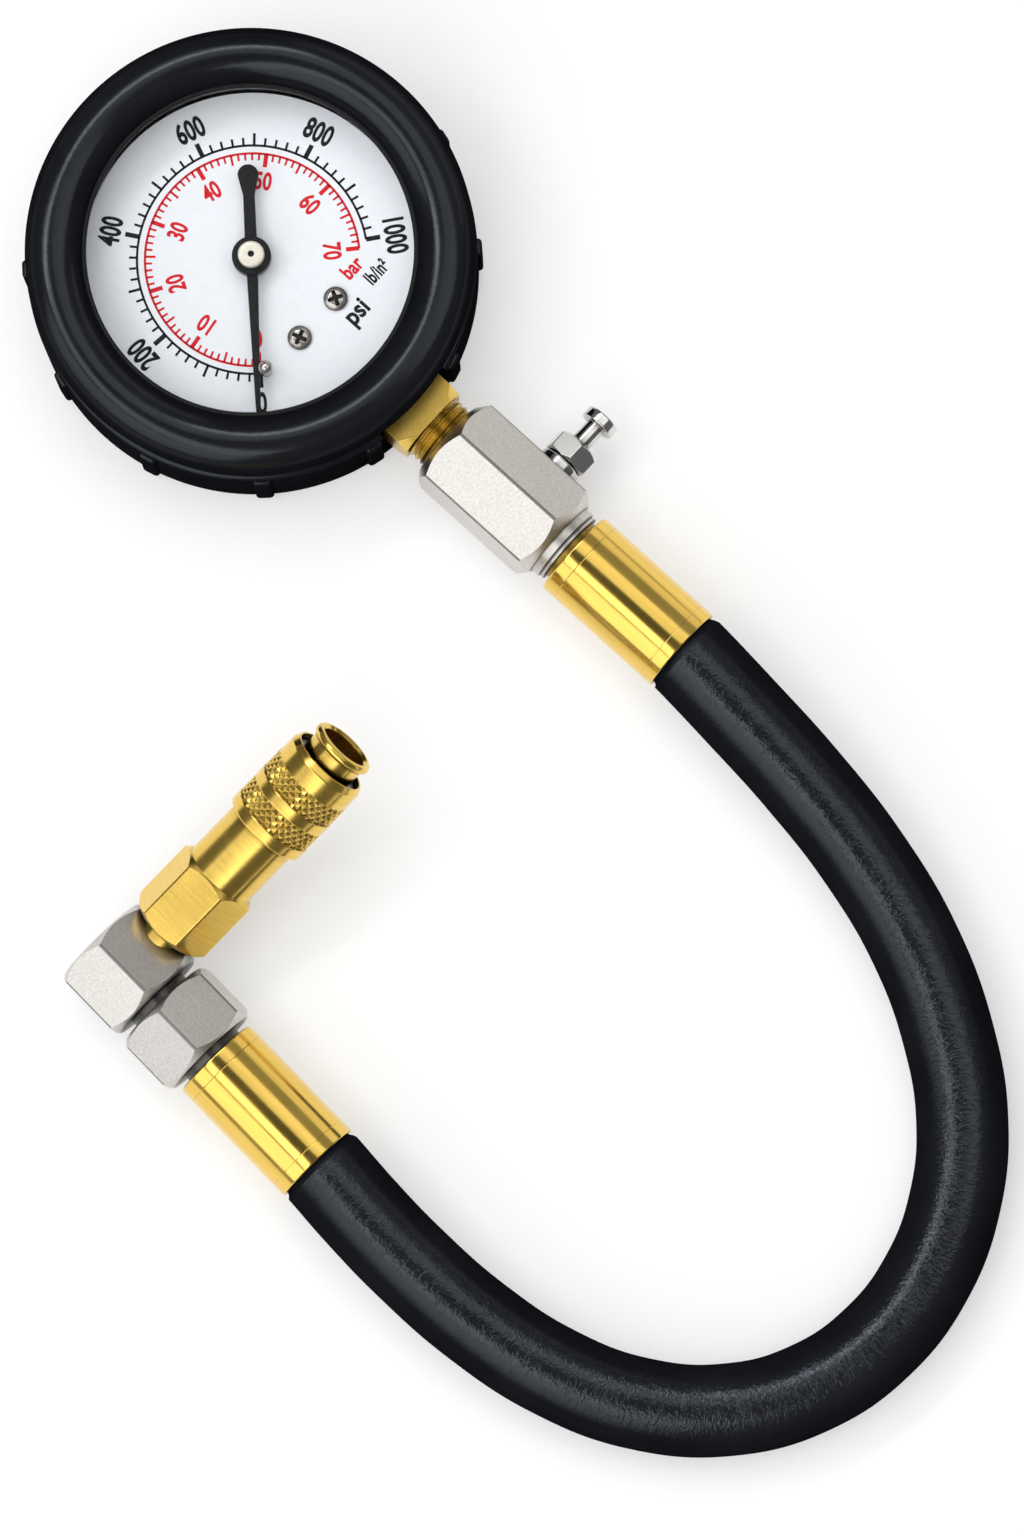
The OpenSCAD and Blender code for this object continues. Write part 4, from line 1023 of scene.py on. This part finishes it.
class GAUGE_OT_dial_screws(GaugeOperator, bpy.types.Operator):
    """Model the two cross-head dial screws and the stop pin"""

    bl_idname = "gauge.dial_screws"
    bl_label = "Dial Screws and Stop Pin"

    def execute(self, context):
        head = lathe("screw", rounded(SCREW_HEAD), steps=64)
        slot = block("slot", size=(0.75, 2.9, 1.6), centre=(0, 0, 18.35), edge=0.12, segments=1)
        for turn in (0, 90):
            combine(head, copy(slot, around(slot, turn)), "DIFFERENCE")
        bpy.data.objects.remove(slot)
        smooth(head, 30)
        pair = [copy(head, moved(x, y, 0) @ spun(turn)) for x, y, turn in ((-4.8, -16, 18), (4.8, -16, 62))]
        bpy.data.objects.remove(head)
        screws = join("dial_screw_pair", *pair)
        dress(screws, "screw_steel", "gauge", "chrome", "dial_screws")
        pin = lathe("zero_stop", [(1.0, 16.4), (1.0, 21.2)] + arc(0, 22, 1.3, -38, 86, 14), steps=40)
        low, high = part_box("stop_pin")
        place(pin, Matrix.Translation(((low.x + high.x) / 2, (low.y + high.y) / 2, 0)))
        dress(pin, "screw_steel", "gauge", "chrome", "stop_pin")
        return {"FINISHED"}


class GAUGE_OT_pointer(GaugeOperator, bpy.types.Operator):
    """Model the pointer with its hub and cap"""

    bl_idname = "gauge.pointer"
    bl_label = "Pointer"

    def execute(self, context):
        sizes = context.scene.gauge_sizes
        reach, tail = sizes.pointer_length / MM, sizes.pointer_tail / MM
        bulb, thick, height, angle = 1.9, 0.6, 20.2, 225
        end = [(-tail + bulb * (1 - math.cos(a)), bulb * math.sin(a)) for a in
               (math.radians(v) for v in (10, 22, 35, 48, 62, 76, 90))]
        stations = end + [(-tail + 5.6, 1.05), (0, 1.1), (reach - 0.2, 0.42), (reach, 0.25)]
        (x0, half0), (x1, half1) = stations[:2]
        pointer = strip("needle", x0, x1, 2 * half0)
        select_where(pointer, "VERT", lambda co: co.x > (x0 + x1) / 2)
        resize(1, half1 / half0, 1)
        for (x, half), (next_x, next_half) in zip(stations[1:], stations[2:]):
            extrude(next_x - x, 0, 0)
            resize(1, next_half / half, 1)
        select_all()
        extrude(0, 0, thick)
        close_mesh()
        apply_modifier(pointer, "BEVEL", width=0.14 * MM, segments=2, limit_method="ANGLE",
                       angle_limit=math.radians(60))
        smooth(pointer, 40)
        place(pointer, moved(0, 0, height) @ spun(angle))
        hub = lathe("hub", rounded(POINTER_HUB), steps=72)
        pointer = join("needle", pointer, hub)
        dress(pointer, "black_gloss", "pointer_set", "black_paint", "pointer")
        cap = lathe("hub_cap", rounded(POINTER_CAP), steps=72)
        dress(cap, "cap_metal", "pointer_set", "champagne", "pointer_cap")
        return {"FINISHED"}


class GAUGE_OT_stem(GaugeOperator, bpy.types.Operator):
    """Add the thread between the brass stem and the adaptor"""

    bl_idname = "gauge.stem"
    bl_label = "Stem"

    def execute(self, context):
        radius, start, ridge, pitch, turns = 6.0, 43.9, 0.6, 1.2, 4
        settle()
        bpy.ops.mesh.primitive_circle_add(vertices=4, radius=ridge * MM, rotation=(math.radians(90), 0, 0))
        thread = named("stem_thread")
        place(thread, moved(radius, 0, start) @ thread.matrix_world)
        apply_modifier(thread, "SCREW", axis="Z", angle=math.radians(360), screw_offset=pitch * MM,
                       iterations=turns, steps=72, render_steps=72, use_merge_vertices=False)
        open_mesh(thread, "SELECT")
        bpy.ops.mesh.fill_holes(sides=0)
        close_mesh()
        smooth(thread, 30)
        place(thread, STEM)
        dress(thread, "satin_brass", "gauge", "brass")
        paint_nodes("satin_brass", "gauge_socket", "hose_tail")
        return {"FINISHED"}


class GAUGE_OT_adaptor(GaugeOperator, bpy.types.Operator):
    """Model the hexagonal adaptor with its collar"""

    bl_idname = "gauge.adaptor"
    bl_label = "Adaptor"

    def execute(self, context):
        flats = context.scene.gauge_sizes.adaptor_flats / MM
        bar = hex_bar("adaptor", flats, start=47.8, end=74.8, turn=-37, share=0.87)
        collar = ring_of("collar", ADAPTOR_COLLAR)
        adaptor = join("adaptor", bar, collar)
        place(adaptor, STEM)
        dress(adaptor, "satin_nickel", "gauge", "nickel", "adaptor_body")
        return {"FINISHED"}


class GAUGE_OT_valve(GaugeOperator, bpy.types.Operator):
    """Model the release valve and its push button"""

    bl_idname = "gauge.valve"
    bl_label = "Release Valve"

    def execute(self, context):
        nut = hex_bar("valve", flats=8.0, start=10.8, end=15.6, turn=12, edge=0.15, share=0.87)
        collar = ring_of("collar", VALVE_COLLAR, 72)
        valve = join("valve", nut, collar)
        place(valve, VALVE)
        dress(valve, "bright_chrome", "gauge", "chrome", "valve_body")
        button = lathe("button", rounded(VALVE_BUTTON), steps=72)
        place(button, VALVE)
        dress(button, "bright_chrome", "button_set", "chrome", "valve_button")
        return {"FINISHED"}


class GAUGE_OT_ferrules(GaugeOperator, bpy.types.Operator):
    """Model one brass hose ferrule and copy it to the other end"""

    bl_idname = "gauge.ferrules"
    bl_label = "Ferrules"

    def execute(self, context):
        outer = context.scene.gauge_sizes.ferrule_radius / MM
        inner, bore = outer - 0.8, 4.7
        near_start, far_start = 78.4, 22.4
        corners = [
            (bore, 0), (outer, 0, 0.5), (outer, 2.7), (outer - 0.1, 2.85), (outer, 3.0), (outer, 23.6),
            (outer - 0.07, 23.72), (outer, 23.84), (outer, 26.4, 0.45), (inner, 26.4, 0.25), (inner, 1.2, 0.3),
            (bore, 1.2),
        ]
        ferrule = ring_of("gauge_ferrule", corners, 128)
        far = copy(ferrule, ELBOW @ moved(0, 0, far_start))
        far.name = "coupler_ferrule"
        place(ferrule, STEM @ moved(0, 0, near_start))
        dress(ferrule, "gold_brass", "gauge", "polished_brass", "ferrule_gauge")
        dress(far, "gold_brass", "gauge", "polished_brass", "ferrule_coupler")
        return {"FINISHED"}


class GAUGE_OT_elbow(GaugeOperator, bpy.types.Operator):
    """Model the hexagonal elbow and the hose fitting beside it"""

    bl_idname = "gauge.elbow"
    bl_label = "Elbow and Hose Fitting"

    def execute(self, context):
        flats = context.scene.gauge_sizes.elbow_flats / MM
        elbow = hex_bar("elbow", flats, start=-7.25, end=7.25, turn=-25)
        place(elbow, ELBOW)
        dress(elbow, "satin_nickel", "gauge", "nickel", "elbow_body")
        nut = hex_bar("hose_fitting", flats, start=8.85, end=21.05, turn=-21)
        neck = ring_of("neck", FITTING_NECK, 72)
        tail = ring_of("tail", FITTING_TAIL, 72)
        fitting = join("hose_fitting", nut, neck, tail)
        place(fitting, ELBOW)
        dress(fitting, "satin_nickel", "gauge", "nickel", "hose_end_fitting")
        return {"FINISHED"}


class GAUGE_OT_coupler(GaugeOperator, bpy.types.Operator):
    """Model the brass quick coupler and its knurled sliding sleeve"""

    bl_idname = "gauge.coupler"
    bl_label = "Coupler"

    def knurl(self, start, end, rows, columns):
        """A band of raised diamonds: every second point of a grid is pressed in."""
        peak, valley, core = 7.98, 7.62, 7.2
        low, high = start - 0.1, end + 0.1
        grid = [(peak, low + (high - low) * j / rows) for j in range(rows + 1)]
        band = lathe("knurl", [(core, low)] + grid + [(core, high)], ring=True, steps=columns)
        open_mesh(band)

        def pressed(co):
            column = round(math.atan2(co.y, co.x) / (2 * math.pi / columns))
            row = round((co.z - low) / (high - low) * rows)
            return math.hypot(co.x, co.y) > core + 0.1 and (column + row) % 2

        select_where(band, "VERT", pressed)
        resize(valley / peak, valley / peak, 1)
        select_all()
        bpy.ops.mesh.quads_convert_to_tris(quad_method="SHORTEST_DIAGONAL")
        close_mesh()
        smooth(band, 10)
        return band

    def execute(self, context):
        sizes = context.scene.gauge_sizes
        outer = sizes.sleeve_radius / MM
        bar = hex_bar("coupler", sizes.coupler_flats / MM, start=10.75, end=24.9, turn=28)
        rim = arc(5.25, 57.65, 0.85, -80, 90, 10)
        turned = lathe("turned", rounded(COUPLER_BODY) + rim + rounded(COUPLER_BORE), ring=True)
        settle()
        ball_hole, ball_row = 1.3, 51
        bpy.ops.mesh.primitive_cylinder_add(
            vertices=32, radius=ball_hole * MM, depth=6 * MM, location=(6 * MM, 0, ball_row * MM),
            rotation=(0, math.radians(90), 0))
        hole = context.object
        place(hole, hole.matrix_world.copy())
        holes = join("holes", hole, *[copy(hole, around(hole, 60 * k)) for k in range(1, 6)])
        combine(turned, holes, "DIFFERENCE")
        smooth(turned)
        coupler = join("coupler", bar, turned)
        place(coupler, COUPLER)
        dress(coupler, "turned_brass", "gauge", "brass", "coupler_body")

        front, base = outer - 0.2, 7.5
        lower, upper = (39.3, 43.3), (45.6, 49.6)
        corners = [
            (6.95, 36.9, 0.15), (outer, 36.9, 0.45), (outer, lower[0], 0.4), (base, 39.35), (base, 43.25),
            (outer, lower[1], 0.4), (outer, upper[0], 0.4), (base, 45.65), (base, 49.55), (front, upper[1], 0.4),
            (front, 53.2, 0.6), (outer - 0.8, 54.4, 0.3), (6.8, 54.4, 0.25), (6.8, 52.4), (6.2, 52.4, 0.1),
            (6.2, 49.4), (6.95, 49.4),
        ]
        body = ring_of("sleeve", corners, 120)
        bands = [self.knurl(*band, rows=5, columns=sizes.knurl_columns) for band in (lower, upper)]
        sleeve = join("sleeve", body, *bands)
        place(sleeve, COUPLER)
        dress(sleeve, "turned_brass", "sleeve_set", "brass", "coupler_sleeve")
        return {"FINISHED"}


class GAUGE_OT_springs(GaugeOperator, bpy.types.Operator):
    """Model the springs of the valve and the sleeve, which shorten as those move"""

    bl_idname = "gauge.springs"
    bl_label = "Springs"

    def execute(self, context):
        for name, node, body, seat, start, end, wound in (
            ("valve_coil", "valve_spring", "button_set", VALVE, -5.0, 1.8, dict(radius=2.2, wire=0.35, turns=5)),
            ("sleeve_coil", "sleeve_spring", "sleeve_set", COUPLER, 40.0, 49.4, dict(radius=6.2, wire=0.42, turns=4.5)),
        ):
            spring = coil(name, start=start, end=end, **wound)
            place(spring, seat)
            dress(spring, "tooled_steel", None, "steel", node)
            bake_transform(spring)
        return {"FINISHED"}


class GAUGE_OT_inner_works(GaugeOperator, bpy.types.Operator):
    """Give the movement and the seals their materials"""

    bl_idname = "gauge.inner_works"
    bl_label = "Inner Works"

    def execute(self, context):
        paint_nodes(
            "tooled_steel", "case_cup", "pinion_shaft", "sector_arbor", "link_pin", "plate_screws",
            "socket_screws", "case_screws", "lock_balls", "sleeve_retainer")
        paint_nodes(
            "satin_brass", "hairspring", "hairspring_stud", "sector_gear", "link", "tube_tip",
            "bourdon_tube", "back_plate", "front_plate", "plate_pillars")
        paint_nodes("seal_rubber", "valve_seal", "coupler_seal")
        return {"FINISHED"}


OPERATORS = (
    GAUGE_OT_stage, GAUGE_OT_hose, GAUGE_OT_boot, GAUGE_OT_bezel, GAUGE_OT_dial, GAUGE_OT_dial_screws,
    GAUGE_OT_pointer, GAUGE_OT_stem, GAUGE_OT_adaptor, GAUGE_OT_valve, GAUGE_OT_ferrules, GAUGE_OT_elbow,
    GAUGE_OT_coupler, GAUGE_OT_springs, GAUGE_OT_inner_works,
)


class GAUGE_PT_tools(bpy.types.Panel):
    """Lists the pieces in the order in which they are made"""

    bl_idname = "GAUGE_PT_tools"
    bl_label = "Compression Tester Gauge"
    bl_space_type = "VIEW_3D"
    bl_region_type = "UI"
    bl_category = "Gauge"

    def draw(self, context):
        for settings in (context.scene.gauge_sizes, context.scene.gauge_colours):
            column = self.layout.column(align=True)
            for name in settings.__annotations__:
                column.prop(settings, name)
        column = self.layout.column(align=True)
        for operator in OPERATORS:
            column.operator(operator.bl_idname)


CLASSES = (GaugeSizes, GaugeColours, *OPERATORS, GAUGE_PT_tools)


def register():
    for item in CLASSES:
        bpy.utils.register_class(item)
    bpy.types.Scene.gauge_sizes = PointerProperty(type=GaugeSizes)
    bpy.types.Scene.gauge_colours = PointerProperty(type=GaugeColours)


def unregister():
    del bpy.types.Scene.gauge_colours
    del bpy.types.Scene.gauge_sizes
    for item in reversed(CLASSES):
        bpy.utils.unregister_class(item)


def main():
    register()
    for operator in OPERATORS:
        group, name = operator.bl_idname.split(".")
        getattr(getattr(bpy.ops, group), name)()
    far_end = [bpy.data.objects[name] for name in FAR_END_PIECES]
    far_end += [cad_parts[name] for name in FAR_END_NODES]
    settle()


if __name__ == "__main__":
    main()
